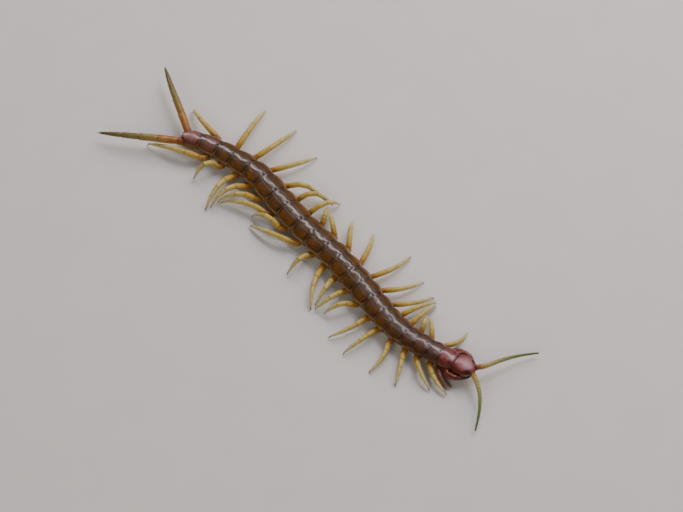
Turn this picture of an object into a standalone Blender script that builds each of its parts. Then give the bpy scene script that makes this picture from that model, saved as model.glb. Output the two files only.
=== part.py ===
"""A giant centipede at life size, walking on a level floor.

Lengths are in millimetres until the last step of each shape, which turns them into Blender's metres.
The head points along +X, the animal's left is +Y, and the tips of the walking legs stand on the plane z = 0.
Segments are counted from the head, 1 to 21, and distances along the body run from the tail end forwards.
"""

import math

import bmesh
import bpy
from mathutils import Vector

MM = 0.001
GAP = 0.3  # clear space between two pieces that touch on the animal

# The body's midline seen from above, from the tail end to the front of the head
BODY_ROUTE = (
    (-71.8, -5.2),
    (-66.5, -2.3),
    (-58.7, -0.1),
    (-48.0, 1.4),
    (-39.0, 1.4),
    (-28.5, -0.7),
    (-13.5, -3.0),
    (2.5, -4.2),
    (17.5, -7.0),
    (27.0, -9.1),
    (35.0, -10.3),
    (43.5, -9.9),
    (55.3, -7.4),
    (66.0, -4.6),
)

# Length of each trunk segment, from segment 21 at the tail to segment 1 behind the head.
# Long and short plates alternate, except that 7 and 8 are both long.
SEGMENT_LENGTHS = (
    7.2, 7.2, 6.4, 7.4, 6.8, 8.0, 6.6, 8.2, 6.5, 7.2, 6.0,
    6.8, 5.7, 7.2, 6.3, 4.5, 6.7, 4.0, 5.2, 4.1, 5.0,
)
SEGMENTS = len(SEGMENT_LENGTHS)
TRUNK_LENGTH = sum(SEGMENT_LENGTHS)
HEAD_LENGTH = 6.8

# Width over the back plates at some distances from the tail end
TRUNK_WIDTHS = ((0, 5.6), (6, 6.9), (14, 7.9), (26, 8.9), (42, 9.8), (85, 9.9), (104, 9.2), (118, 8.1), (132, 7.3))
AXIS_HEIGHT = 4.5  # the trunk's middle above the floor
THICKNESS = 0.29  # half the trunk's height for each millimetre of its width

# One segment from its rear edge to its front: share of its length, width factor, rise of the back
SEGMENT_RINGS = ((0.0, 0.985, 0.02), (0.2, 1.0, 0.08), (0.5, 0.99, 0.1), (0.84, 0.95, -0.04), (0.95, 0.87, -0.3))

TAIL_RINGS = ((0.0, 0.5, -0.2), (0.7, 0.82, 0.0))  # the rounded end: distance from the tail end, width factor, rise

# Half of a trunk section, from the middle of the back down the left side to the middle of the belly:
# share of the half width, and share of the half height above or below the axis
TRUNK_SECTION = (
    (0.0, 1.0),
    (0.34, 0.97),
    (0.7, 0.8),
    (0.93, 0.42),
    (1.0, 0.12),
    (0.9, -0.02),
    (0.87, -0.42),
    (0.62, -0.86),
    (0.0, -1.0),
)

FLANK = 0.435  # the side of the body from the midline, as a share of the width
COXA_REACH = 0.4  # how far the hip socket stands out from the side
COXA_HEIGHT = 2.8
COXA_DEPTH = 2.2
HIP_RISE = 8  # degrees that a leg climbs where it leaves the body
FIRST_HIP_BACK = 1.3  # the first hips lie further back on their segment, clear of the venom claws

# Leg length by segment number
LEG_LENGTHS = ((1, 7.5), (2, 11.5), (5, 13.5), (9, 15.5), (16, 17.0), (20, 20.5))

# Where each walking leg of the left side stands: degrees it swings forwards, plan distance from hip to foot,
# and how far its middle bows forwards
LEFT_STANCE = {
    1: (66, 6.5, -0.8),
    2: (15, 10.5, 1.3),
    3: (-35, 10.0, 0.2),
    4: (-22, 8.4, 0.2),
    5: (-3, 12.6, 0.0),
    6: (5, 13.6, 0.3),
    7: (14, 14.5, 1.5),
    8: (11, 15.0, 1.6),
    9: (-5, 17.0, 1.8),
    10: (-38, 15.0, 1.0),
    11: (-45, 14.0, 0.0),
    12: (-56, 11.0, -0.2),
    13: (-38, 8.5, 0.8),
    14: (7, 12.0, 0.4),
    15: (37, 12.0, -1.0),
    16: (52, 14.5, -1.5),
    17: (16, 17.5, 1.5),
    18: (4, 20.5, 1.6),
    19: (-10, 21.5, 0.8),
    20: (-61, 18.0, -1.5),
}
RIGHT_STANCE = {
    1: (66, 6.5, -0.8),
    2: (60, 11.0, -0.8),
    3: (54, 11.0, -0.6),
    4: (24, 12.0, 0.3),
    5: (13, 12.3, 1.3),
    6: (0, 13.3, 0.5),
    7: (-7, 13.5, 1.2),
    8: (-19, 10.0, 0.5),
    9: (-1, 11.0, 1.2),
    10: (23, 10.8, 0.8),
    11: (38, 16.0, -0.9),
    12: (-3, 9.5, 0.6),
    13: (-69, 17.5, 0.9),
    14: (-71, 12.0, 0.0),
    15: (-56, 17.5, -0.8),
    16: (-33, 13.3, -0.2),
    17: (-11, 14.2, -0.8),
    18: (5, 16.0, -0.6),
    19: (-31, 9.2, 0.2),
    20: (-81, 21.0, 0.9),
}

TROCHANTER = 0.7  # a leg's first short piece, straight out of its socket

# Rings of a walking leg beyond it: share of its length and of its greatest radius. The narrow ones are the joints.
LEG_RINGS = (
    (0.1, 1.0),
    (0.25, 0.98),
    (0.3, 0.78),
    (0.46, 0.94),
    (0.52, 0.7),
    (0.68, 0.8),
    (0.74, 0.56),
    (0.92, 0.44),
    (1.0, 0.3),
)
CLAW_HEIGHT = 0.9  # the claw stands upright on the floor
CLAW_TIP_RADIUS = 0.17

# The last pair of legs: plan points from the hip backwards and outwards, with height, in the tail's own frame
LAST_LEG = {
    "left": ((0.6, 3.7, 4.4), (-1.6, 7.2, 5.0), (-5.5, 13.0, 5.8), (-9.6, 19.2, 6.2), (-14.8, 28.0, 6.0)),
    "right": ((-1.3, -1.8, 4.3), (-7.2, -3.0, 5.0), (-13.7, -4.0, 5.2), (-21.5, -4.7, 4.8), (-28.6, -5.0, 4.0)),
}
LAST_LEG_RINGS = (
    (0.0, 0.9),
    (0.12, 1.0),
    (0.27, 0.96),
    (0.31, 0.76),
    (0.48, 0.82),
    (0.53, 0.66),
    (0.69, 0.66),
    (0.74, 0.5),
    (0.9, 0.4),
    (0.95, 0.24),
    (1.0, 0.1),
)
LAST_LEG_RADIUS = 1.35

# The head plate from its rear edge to its front: share of its length, half width, top, rim and underside heights
HEAD_RINGS = (
    (0.0, 3.1, 6.1, 4.9, 4.1),
    (0.14, 3.55, 6.5, 4.95, 4.05),
    (0.36, 3.75, 6.65, 5.0, 4.0),
    (0.6, 3.5, 6.5, 4.95, 4.0),
    (0.8, 2.8, 6.15, 4.85, 4.0),
    (0.93, 1.9, 5.75, 4.8, 4.1),
    (1.0, 1.1, 5.3, 4.75, 4.3),
)
HEAD_SECTION = ((0.0, 1.0), (0.4, 0.95), (0.74, 0.7), (0.95, 0.25))  # half width and height above the rim
EYES = ((5.6, 3.0), (5.0, 3.25), (5.45, 2.75), (4.9, 3.05))  # four simple eyes a side: forwards, sideways
EYE_RADIUS = 0.34

# Venom claws, which curve round under the head: forwards, sideways and up from the rear of the head, and radius
VENOM_CLAW = (
    (-1.7, 3.9, 3.5, 0.8),
    (-0.8, 4.6, 3.6, 1.02),
    (0.6, 4.9, 3.6, 1.1),
    (2.2, 4.7, 3.6, 0.98),
    (3.7, 4.0, 3.5, 0.78),
    (5.0, 3.0, 3.4, 0.54),
    (5.9, 1.9, 3.3, 0.32),
    (6.3, 1.0, 3.2, 0.15),
)

# The plate under the head that carries the venom claws: share along it, half width, top and bottom heights
CHIN_LENGTH = 4.6
CHIN_RINGS = (
    (0.0, 3.0, 3.65, 2.3),
    (0.3, 3.2, 3.65, 2.15),
    (0.65, 2.7, 3.6, 2.2),
    (0.9, 2.0, 3.5, 2.4),
    (1.0, 1.5, 3.3, 2.6),
)

# Feelers, from the front of the head: forwards, sideways and up from the rear of the head
FEELERS = {
    "left": (
        (7.3, 1.9, 5.1), (8.6, 2.9, 5.3), (10.2, 5.2, 5.2), (12.4, 8.8, 4.6),
        (14.8, 12.4, 3.7), (17.4, 15.8, 2.6), (20.0, 18.8, 1.6),
    ),
    "right": (
        (7.3, -1.9, 5.1), (8.5, -2.8, 5.3), (10.6, -4.8, 5.1), (12.8, -7.6, 4.5),
        (14.6, -10.8, 3.6), (16.0, -14.4, 2.6), (17.2, -18.2, 1.6),
    ),
}
FEELER_ARTICLES = 18
FEELER_RADIUS = 0.86
FEELER_TIP_RADIUS = 0.27

# Trunk segments in each node, from the tail
TRUNK_NODES = ((21,), (20, 19), (18, 17), (16, 15), (14, 13), (12, 11), (10, 9), (8, 7), (6, 5), (4, 3), (2, 1))

COLOURS = {  # base colour and roughness
    "back plates": ((0.16, 0.045, 0.014), 0.32),
    "head plate": ((0.2, 0.035, 0.016), 0.28),
    "venom claws": ((0.22, 0.04, 0.015), 0.3),
    "walking legs": ((0.62, 0.36, 0.09), 0.42),
    "last legs": ((0.55, 0.24, 0.05), 0.42),
    "feelers": ((0.42, 0.33, 0.08), 0.5),
}


def read_table(table, x):
    """The value of a table of (x, value) pairs at x, on straight lines between them."""
    for (x0, v0), (x1, v1) in zip(table, table[1:]):
        if x <= x1:
            share = max(0.0, (x - x0) / (x1 - x0))
            return v0 + (v1 - v0) * share
    return table[-1][1]


class Route:
    """A smooth line through points, read by the distance along it."""

    STEPS = 16

    def __init__(self, points):
        points = [Vector(p).to_3d() for p in points]
        ends = [2 * points[0] - points[1], *points, 2 * points[-1] - points[-2]]
        line = []
        for a, b, c, d in zip(ends, ends[1:], ends[2:], ends[3:]):
            for step in range(self.STEPS):
                t = step / self.STEPS
                curve = 2 * b + (c - a) * t + (2 * a - 5 * b + 4 * c - d) * t**2 + (3 * b - a - 3 * c + d) * t**3
                line.append(curve / 2)
        line.append(points[-1])
        self.line = line
        self.marks = [0.0]
        for p, q in zip(line, line[1:]):
            self.marks.append(self.marks[-1] + (q - p).length)
        self.length = self.marks[-1]

    def at(self, distance):
        for i, (m, n) in enumerate(zip(self.marks, self.marks[1:])):
            if distance <= n or n == self.length:
                return self.line[i].lerp(self.line[i + 1], (distance - m) / (n - m))

    def heading(self, distance, reach=0.5):
        return (self.at(distance + reach) - self.at(distance - reach)).normalized()


BODY = Route(BODY_ROUTE)
UP = Vector((0, 0, 1))


def place(distance, sideways=0.0, height=0.0):
    """A point beside the body's midline."""
    return BODY.at(distance) + BODY.heading(distance).yxz * Vector((-1, 1, 0)) * sideways + UP * height


def segment_start(number):
    """Distance from the tail end to the rear edge of a segment."""
    return sum(SEGMENT_LENGTHS[: SEGMENTS - number])


def segment_middle(number):
    return segment_start(number) + SEGMENT_LENGTHS[SEGMENTS - number] / 2


def make_material(name):
    colour, roughness = COLOURS[name]
    material = bpy.data.materials.new(name)
    material.use_nodes = True
    shader = material.node_tree.nodes["Principled BSDF"]
    shader.inputs["Base Color"].default_value = (*colour, 1)
    shader.inputs["Roughness"].default_value = roughness
    shader.inputs["Metallic"].default_value = 0
    return material


def add_object(name, data, material, collection):
    obj = bpy.data.objects.new(name, data)
    data.materials.append(material)
    collection.objects.link(obj)
    return obj


def loft(name, rings, material, collection):
    """A closed body through rings of points that all have the same number of corners."""
    mesh = bpy.data.meshes.new(name)
    bm = bmesh.new()
    loops = [[bm.verts.new(p * MM) for p in ring] for ring in rings]
    corners = len(loops[0])
    for one, two in zip(loops, loops[1:]):
        for i in range(corners):
            j = (i + 1) % corners
            bm.faces.new((one[i], one[j], two[j], two[i]))
    bm.faces.new(loops[0])
    bm.faces.new(loops[-1])
    bmesh.ops.recalc_face_normals(bm, faces=bm.faces)
    bm.to_mesh(mesh)
    bm.free()
    mesh.shade_smooth()
    mesh.set_sharp_from_angle(angle=math.radians(40))
    return add_object(name, mesh, material, collection)


def whole_ring(half):
    """Mirrors half a section, given from the top middle to the bottom middle, to the whole ring."""
    return [*half, *[(-y, z) for y, z in reversed(half[1:-1])]]


def tube(name, stations, material, collection):
    """A round tapered body along stations of (point, radius)."""
    curve = bpy.data.curves.new(name, "CURVE")
    curve.dimensions = "3D"
    curve.bevel_depth = MM
    curve.bevel_resolution = 2
    curve.use_fill_caps = True
    spline = curve.splines.new("POLY")
    spline.points.add(len(stations) - 1)
    for point, (position, radius) in zip(spline.points, stations):
        point.co = (*(position * MM), 1)
        point.radius = radius
    return add_object(name, curve, material, collection)


def join(base, pieces):
    """Fuses the pieces into the base with one Boolean union, and removes them."""
    group = bpy.data.collections.new(base.name + " pieces")
    bpy.context.scene.collection.children.link(group)
    for piece in pieces:
        for home in piece.users_collection:
            home.objects.unlink(piece)
        group.objects.link(piece)
    union = base.modifiers.new("union", "BOOLEAN")
    union.operation = "UNION"
    union.operand_type = "COLLECTION"
    union.collection = group
    union.solver = "EXACT"
    bpy.context.view_layer.objects.active = base
    bpy.context.view_layer.update()
    bpy.ops.object.modifier_apply(modifier=union.name)
    for piece in pieces:
        bpy.data.objects.remove(piece)
    bpy.data.collections.remove(group)
    base.data.shade_smooth()
    base.data.set_sharp_from_angle(angle=math.radians(40))


def socket(stations, depth, collection):
    """A short round stump whose flat end faces the first ring of the piece that it carries."""
    (first, radius), (second, _) = stations[:2]
    direction = (second - first).normalized()
    face = first - direction * GAP
    bpy.ops.mesh.primitive_cone_add(
        vertices=8,
        radius1=radius * 1.25 * MM,
        radius2=radius * 1.1 * MM,
        depth=depth * MM,
        location=(face - direction * depth / 2) * MM,
        rotation=direction.to_track_quat("Z", "Y").to_euler(),
    )
    obj = bpy.context.active_object
    for home in obj.users_collection:
        home.objects.unlink(obj)
    collection.objects.link(obj)
    return obj


def trunk_ring(distance, width, rise):
    half_height = THICKNESS * width
    ring = []
    for share, level in whole_ring(TRUNK_SECTION):
        lift = rise if level > 0 else -0.6 * rise
        ring.append(place(distance, share * width / 2, AXIS_HEIGHT + level * half_height + lift))
    return ring


def trunk_rings(numbers):
    """The rings of some segments, from the rear edge of the first to the front edge of the last."""
    rings = []
    if numbers[0] == SEGMENTS:
        for distance, factor, rise in TAIL_RINGS:
            rings.append(trunk_ring(distance, factor * read_table(TRUNK_WIDTHS, distance), rise))
    for number in numbers:
        start = segment_start(number)
        length = SEGMENT_LENGTHS[SEGMENTS - number]
        for share, factor, rise in SEGMENT_RINGS[1 if number == SEGMENTS else 0 :]:
            distance = start + share * length
            if number == numbers[0] and share == 0:
                distance += GAP / 2
            if number == numbers[-1] and share == SEGMENT_RINGS[-1][0]:
                distance = start + length - GAP / 2
            rings.append(trunk_ring(distance, factor * read_table(TRUNK_WIDTHS, distance), rise))
    return rings


def leg_radius(number):
    return 0.85 + 0.011 * number


def stance(number, side):
    return (LEFT_STANCE if side == "left" else RIGHT_STANCE)[number]


def compass(distance, side, swing):
    """Level directions beside the body: the way that a leg points when it swings forwards, and square to it."""
    forward = BODY.heading(distance)
    outward = Vector((-forward.y, forward.x, 0)) * (1 if side == "left" else -1)
    turn = math.radians(swing)
    return forward * math.sin(turn) + outward * math.cos(turn), forward * math.cos(turn) - outward * math.sin(turn)


def hip(number, side):
    """The centre of a leg's first ring and the direction in which the leg starts."""
    middle = segment_middle(number)
    if number == 1:
        middle -= FIRST_HIP_BACK
    turn = max(-30, min(30, 0.6 * stance(number, side)[0]))
    level, _ = compass(middle, side, turn)
    rise = math.radians(HIP_RISE)
    direction = level * math.cos(rise) + UP * math.sin(rise)
    width = read_table(TRUNK_WIDTHS, middle)
    reach = FLANK * width + COXA_REACH + leg_radius(number) * abs(math.sin(math.radians(turn)))
    start = place(middle, reach if side == "left" else -reach, COXA_HEIGHT) + direction * GAP
    return start, direction


def arched(start, foot, bow, arch, t):
    """A point of a leg's line: straight from hip to foot, bowed sideways and arched upwards."""
    return start.lerp(foot, t) + bow * 4 * t * (1 - t) + UP * arch * 4 * t * (1 - t)


def leg_stations(number, side):
    """Ring centres and radii of a walking leg. Its arch takes up the length that its stance leaves over."""
    swing, reach, bow = stance(number, side)
    hip_face, direction = hip(number, side)
    start = hip_face + direction * TROCHANTER
    along, across = compass(segment_middle(number), side, swing)
    foot = Vector((hip_face.x, hip_face.y, CLAW_HEIGHT)) + along * reach
    length = max(1.05 * reach, (read_table(LEG_LENGTHS, number) - CLAW_HEIGHT + 1.1 * reach) / 2) - TROCHANTER
    low, high = 0.0, 14.0
    for _ in range(24):
        arch = (low + high) / 2
        points = [arched(start, foot, across * bow, arch, i / 30) for i in range(31)]
        if sum((q - p).length for p, q in zip(points, points[1:])) < length:
            low = arch
        else:
            high = arch
    route = Route(points)
    thick = leg_radius(number)
    stations = [(hip_face, 0.86 * thick), (start, 0.94 * thick)]
    stations += [(route.at(share * route.length), factor * thick) for share, factor in LEG_RINGS[:-1]]
    stations.append((foot, LEG_RINGS[-1][1] * thick))
    stations.append((Vector((foot.x, foot.y, 0)), CLAW_TIP_RADIUS))
    return stations


def last_leg_stations(side):
    """Ring centres and radii of a last leg, placed in the straight frame of the tail end."""
    heading = BODY.heading(1.0)
    left = Vector((-heading.y, heading.x, 0))
    route = Route([BODY.at(0.0) + heading * x + left * y + UP * z for x, y, z in LAST_LEG[side]])
    return [(route.at(share * route.length), factor * LAST_LEG_RADIUS) for share, factor in LAST_LEG_RINGS]


def head_point(forwards, sideways, height):
    """A point given from the rear of the head."""
    return place(TRUNK_LENGTH + GAP / 2 + forwards, sideways, height)


def venom_claw_stations(side):
    sign = 1 if side == "left" else -1
    return [(head_point(x, sign * y, z), radius) for x, y, z, radius in VENOM_CLAW]


def feeler_stations(side):
    """A beaded feeler that thins out to its tip."""
    route = Route([head_point(*point) for point in FEELERS[side]])
    stations = []
    for article in range(FEELER_ARTICLES):
        for part, swell in ((0.0, 0.88), (0.6, 1.0)):
            share = (article + part) / FEELER_ARTICLES
            radius = FEELER_RADIUS + (FEELER_TIP_RADIUS - FEELER_RADIUS) * share
            stations.append((route.at(share * route.length), radius * swell))
    stations.append((route.at(route.length), FEELER_TIP_RADIUS * 0.5))
    return stations


def make_trunk(numbers, material, collection):
    name = "trunk_" + "_".join(f"{n:02d}" for n in sorted(numbers))
    body = loft(name, trunk_rings(numbers), material, collection)
    sockets = []
    for side in ("left", "right"):
        for number in numbers:
            if number == SEGMENTS:
                sockets.append(socket(last_leg_stations(side), COXA_DEPTH + 1.2, collection))
            else:
                sockets.append(socket(leg_stations(number, side), COXA_DEPTH, collection))
            if number == 1:
                sockets.append(socket(venom_claw_stations(side), 1.6, collection))
    join(body, sockets)
    return body


def head_ring(share, half_width, top, rim, underside):
    half = [(y * half_width, rim + z * (top - rim)) for y, z in HEAD_SECTION]
    half += [(half_width, rim), (0.8 * half_width, (rim + underside) / 2), (0.5 * half_width, underside), (0, underside)]
    return [head_point(share * HEAD_LENGTH, y, z) for y, z in whole_ring(half)]


def make_head(material, collection):
    head = loft("head", [head_ring(*ring) for ring in HEAD_RINGS], material, collection)
    pieces = []
    for side, sign in (("left", 1), ("right", -1)):
        pieces.append(socket(feeler_stations(side), 1.6, collection))
        for forwards, sideways in EYES:
            bpy.ops.mesh.primitive_ico_sphere_add(
                subdivisions=1,
                radius=EYE_RADIUS * MM,
                location=head_point(forwards, sign * sideways, 5.35) * MM,
            )
            pieces.append(bpy.context.active_object)
    join(head, pieces)
    return head


def chin_ring(share, half_width, top, bottom):
    middle = (top + bottom) / 2
    half = [(0, top), (half_width * 0.8, top), (half_width, middle), (half_width * 0.75, bottom), (0, bottom)]
    return [head_point(share * CHIN_LENGTH, y, z) for y, z in whole_ring(half)]


def stand_on_origin(objects):
    """Moves the whole animal so that the middle of its box, on the floor, is the origin."""
    bpy.context.view_layer.update()
    graph = bpy.context.evaluated_depsgraph_get()
    low, high = Vector((1, 1, 1)), Vector((-1, -1, -1))
    for obj in objects:
        evaluated = obj.evaluated_get(graph)
        mesh = evaluated.to_mesh()
        for vertex in mesh.vertices:
            point = evaluated.matrix_world @ vertex.co
            low = Vector(map(min, low, point))
            high = Vector(map(max, high, point))
        evaluated.to_mesh_clear()
    shift = Vector((-(low.x + high.x) / 2, -(low.y + high.y) / 2, 0))
    for obj in objects:
        obj.location += shift
    print("shift in mm", [round(x / MM, 3) for x in shift], "size", [round(x / MM, 2) for x in high - low])


def main():
    for obj in list(bpy.data.objects):
        bpy.data.objects.remove(obj)
    collection = bpy.data.collections.new("centipede")
    bpy.context.scene.collection.children.link(collection)
    finish = {name: make_material(name) for name in COLOURS}
    for numbers in TRUNK_NODES:
        make_trunk(numbers, finish["back plates"], collection)
    make_head(finish["head plate"], collection)
    loft("chin_plate", [chin_ring(*ring) for ring in CHIN_RINGS], finish["venom claws"], collection)
    for side in ("left", "right"):
        tube(f"venom_claw_{side}", venom_claw_stations(side), finish["venom claws"], collection)
        tube(f"antenna_{side}", feeler_stations(side), finish["feelers"], collection)
        for number in range(1, SEGMENTS):
            tube(f"leg_{number:02d}_{side}", leg_stations(number, side), finish["walking legs"], collection)
        tube(f"leg_{SEGMENTS}_{side}", last_leg_stations(side), finish["last legs"], collection)
    stand_on_origin(list(collection.objects))


main()
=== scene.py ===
# %% [markdown]
# # A giant centipede at life size
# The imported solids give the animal's pose and size: they are loaded first and never moved.
# Everything below is dressed onto them: back and belly plates, the soft skin between them,
# jointed legs, the head with its feelers and venom claws, and the finish of each surface.

# %% Load the solids
import math

import bpy
import numpy as np
from mathutils import Matrix, Vector


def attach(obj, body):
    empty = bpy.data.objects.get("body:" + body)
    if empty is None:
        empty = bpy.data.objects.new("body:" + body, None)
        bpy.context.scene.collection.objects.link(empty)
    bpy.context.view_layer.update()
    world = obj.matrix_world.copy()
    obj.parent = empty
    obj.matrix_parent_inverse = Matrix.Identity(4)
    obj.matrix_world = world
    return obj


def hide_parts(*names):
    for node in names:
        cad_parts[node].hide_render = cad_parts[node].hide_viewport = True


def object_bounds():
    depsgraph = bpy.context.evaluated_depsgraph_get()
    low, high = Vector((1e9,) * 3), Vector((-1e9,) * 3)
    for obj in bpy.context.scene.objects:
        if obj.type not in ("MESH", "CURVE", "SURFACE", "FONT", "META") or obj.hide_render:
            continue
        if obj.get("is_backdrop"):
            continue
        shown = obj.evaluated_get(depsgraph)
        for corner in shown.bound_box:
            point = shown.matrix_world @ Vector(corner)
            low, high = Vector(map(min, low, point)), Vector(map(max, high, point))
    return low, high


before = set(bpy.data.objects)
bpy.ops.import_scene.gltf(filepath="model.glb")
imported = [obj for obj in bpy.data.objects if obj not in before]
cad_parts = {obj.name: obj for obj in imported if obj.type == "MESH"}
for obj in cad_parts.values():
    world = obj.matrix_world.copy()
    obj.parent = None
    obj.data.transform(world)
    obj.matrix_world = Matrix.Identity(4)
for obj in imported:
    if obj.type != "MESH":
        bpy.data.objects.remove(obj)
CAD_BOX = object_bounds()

MM = 0.001
NODES = sorted(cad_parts)
print("solids:", len(NODES), "box:", [[round(v / MM, 2) for v in corner] for corner in CAD_BOX])

# %% [markdown]
# ## The midline
# A centipede's trunk bends in the ground plane and keeps one height. So one smooth line, seen from above,
# can carry the whole body: a point is a distance along the line, a distance sideways and a height.
# A Catmull-Rom spline is used because it runs through its points, which can be read off as a plan.

# %% A smooth line through points
def unit(v):
    v = np.asarray(v, float)
    return v / np.linalg.norm(v, axis=-1, keepdims=True)


class Line:
    """A smooth line through points, read by the distance along it. All lengths are in millimetres."""

    def __init__(self, points, steps=24):
        points = np.array([list(p) + [0.0] * (3 - len(p)) for p in points], float)
        ends = np.vstack([2 * points[0] - points[1], points, 2 * points[-1] - points[-2]])
        t = np.arange(steps)[:, None] / steps
        runs = []
        for a, b, c, d in zip(ends, ends[1:], ends[2:], ends[3:]):
            square, cube = 2 * a - 5 * b + 4 * c - d, 3 * b - a - 3 * c + d
            runs.append((2 * b + (c - a) * t + square * t**2 + cube * t**3) / 2)
        self.points = np.vstack([*runs, points[-1:]])
        steps_taken = np.linalg.norm(np.diff(self.points, axis=0), axis=1)
        self.marks = np.concatenate([[0.0], np.cumsum(steps_taken)])
        self.knots = self.marks[::steps]
        self.length = self.marks[-1]

    def at(self, distance):
        d = np.asarray(distance, float)
        inside = np.clip(d, 0.0, self.length)
        point = np.stack([np.interp(inside, self.marks, self.points[:, k]) for k in range(3)], -1)
        first = unit(self.points[1] - self.points[0])
        last = unit(self.points[-1] - self.points[-2])
        before = np.minimum(d, 0.0)[..., None] * first
        after = np.maximum(d - self.length, 0.0)[..., None] * last
        return point + before + after

    def heading(self, distance, reach=0.5):
        d = np.asarray(distance, float)
        return unit(self.at(d + reach) - self.at(d - reach))


# %% The body's plan
BODY = Line((
    (-71.8, -5.2), (-66.5, -2.3), (-58.7, -0.1), (-48.0, 1.4), (-39.0, 1.4), (-28.5, -0.7), (-13.5, -3.0),
    (2.5, -4.2), (17.5, -7.0), (27.0, -9.1), (35.0, -10.3), (43.5, -9.9), (55.3, -7.4), (66.0, -4.6),
))
UP = np.array([0.0, 0.0, 1.0])

# Segment lengths from segment 21 at the tail to segment 1 behind the head
SEGMENT_LENGTHS = (
    7.2, 7.2, 6.4, 7.4, 6.8, 8.0, 6.6, 8.2, 6.5, 7.2, 6.0,
    6.8, 5.7, 7.2, 6.3, 4.5, 6.7, 4.0, 5.2, 4.1, 5.0,
)
SEGMENTS = len(SEGMENT_LENGTHS)
TRUNK_LENGTH = sum(SEGMENT_LENGTHS)
GAP = 0.3  # the space that the solids leave between neighbours
WIDTH_AT = np.array([0, 6, 14, 26, 42, 85, 104, 118, 132], float)
WIDTHS = np.array([5.6, 6.9, 7.9, 8.9, 9.8, 9.9, 9.2, 8.1, 7.3])
AXIS_HEIGHT = 4.5
TALLNESS = 0.29  # half the trunk's height for each millimetre of its width
print("trunk", round(TRUNK_LENGTH, 1), "mm, midline", round(BODY.length, 1), "mm")


# %% Places on the body
def width_at(distance):
    return np.interp(distance, WIDTH_AT, WIDTHS)


def tall_at(distance):
    """Half the trunk's height."""
    return TALLNESS * width_at(distance)


def segment_start(number):
    """Where a segment starts on the midline, counted from the tail."""
    return sum(SEGMENT_LENGTHS[: SEGMENTS - number])


def segment_length(number):
    return SEGMENT_LENGTHS[SEGMENTS - number]


def segment_middle(number):
    return segment_start(number) + segment_length(number) / 2


def beside(distance, sideways, height):
    """Points beside the midline. Sideways counts to the animal's left."""
    distance, sideways, height = np.broadcast_arrays(distance, sideways, height)
    heading = BODY.heading(distance)
    left = np.stack([-heading[..., 1], heading[..., 0], np.zeros_like(heading[..., 0])], -1)
    return BODY.at(distance) + left * sideways[..., None] + UP * height[..., None]


widths = [round(float(width_at(segment_middle(number))), 1) for number in (1, 11, SEGMENTS)]
print("the trunk is", widths, "mm wide at segments 1, 11 and", SEGMENTS)

# %% [markdown]
# ## Where the legs stand
# Each leg is a stance: how far it swings forwards, how far out its foot stands and how far its middle bows.
# These are the same numbers as in the solids, so the dressed leg lies on the solid leg.
# The arch of a leg takes up the length that its stance leaves over, as a real leg's joints do.

# %% Stances
SIGN = {"left": 1, "right": -1}
LEG_LENGTHS = ((1, 7.5), (2, 11.5), (5, 13.5), (9, 15.5), (16, 17.0), (20, 20.5))  # leg number and length
# For legs 1 to 20: degrees forwards, reach and bow
STANCES = {
    "left": (
        (66, 6.5, -0.8), (15, 10.5, 1.3), (-35, 10.0, 0.2), (-22, 8.4, 0.2), (-3, 12.6, 0.0),
        (5, 13.6, 0.3), (14, 14.5, 1.5), (11, 15.0, 1.6), (-5, 17.0, 1.8), (-38, 15.0, 1.0),
        (-45, 14.0, 0.0), (-56, 11.0, -0.2), (-38, 8.5, 0.8), (7, 12.0, 0.4), (37, 12.0, -1.0),
        (52, 14.5, -1.5), (16, 17.5, 1.5), (4, 20.5, 1.6), (-10, 21.5, 0.8), (-61, 18.0, -1.5),
    ),
    "right": (
        (66, 6.5, -0.8), (60, 11.0, -0.8), (54, 11.0, -0.6), (24, 12.0, 0.3), (13, 12.3, 1.3),
        (0, 13.3, 0.5), (-7, 13.5, 1.2), (-19, 10.0, 0.5), (-1, 11.0, 1.2), (23, 10.8, 0.8),
        (38, 16.0, -0.9), (-3, 9.5, 0.6), (-69, 17.5, 0.9), (-71, 12.0, 0.0), (-56, 17.5, -0.8),
        (-33, 13.3, -0.2), (-11, 14.2, -0.8), (5, 16.0, -0.6), (-31, 9.2, 0.2), (-81, 21.0, 0.9),
    ),
}
print("stances:", {side: len(rows) for side, rows in STANCES.items()})

# %% Where a leg starts
HIP_OUT = 0.435  # how far out the hips lie, as a share of the trunk's width
HIP_REACH = 0.4
HIP_HEIGHT = 2.8
HIP_RISE = math.radians(8)
HIP_TURN_LIMIT = 30.0
HIP_TURN_SHARE = 0.6  # a hip takes this share of its leg's swing
FIRST_HIP_BACK = 1.3


def leg_radius(number):
    return 0.85 + 0.011 * number


def compass(distance, side, degrees):
    """The level direction of a leg that swings forwards by some degrees, and the direction square to it."""
    forward = BODY.heading(distance)
    outward = np.array([-forward[1], forward[0], 0.0]) * SIGN[side]
    turn = math.radians(degrees)
    along = forward * math.sin(turn) + outward * math.cos(turn)
    across = forward * math.cos(turn) - outward * math.sin(turn)
    return along, across


def hip(number, side):
    """The centre of a leg's first ring and the direction in which the leg starts."""
    middle = segment_middle(number) - (FIRST_HIP_BACK if number == 1 else 0.0)
    swing = STANCES[side][number - 1][0]
    turn = max(-HIP_TURN_LIMIT, min(HIP_TURN_LIMIT, HIP_TURN_SHARE * swing))
    level, _ = compass(middle, side, turn)
    direction = level * math.cos(HIP_RISE) + UP * math.sin(HIP_RISE)
    room = leg_radius(number) * abs(math.sin(math.radians(turn)))
    reach = HIP_OUT * width_at(middle) + HIP_REACH + room
    return beside(middle, SIGN[side] * reach, HIP_HEIGHT) + direction * GAP, direction


print("the hip of leg 10 lies", round(float(hip(10, "left")[0][2]), 2), "mm above the floor")

# %% The line of a walking leg
HIP_LENGTH = 0.7
FOOT_HEIGHT = 0.9
HIGHEST_ARCH = 14.0
HALVINGS = 24


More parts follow.
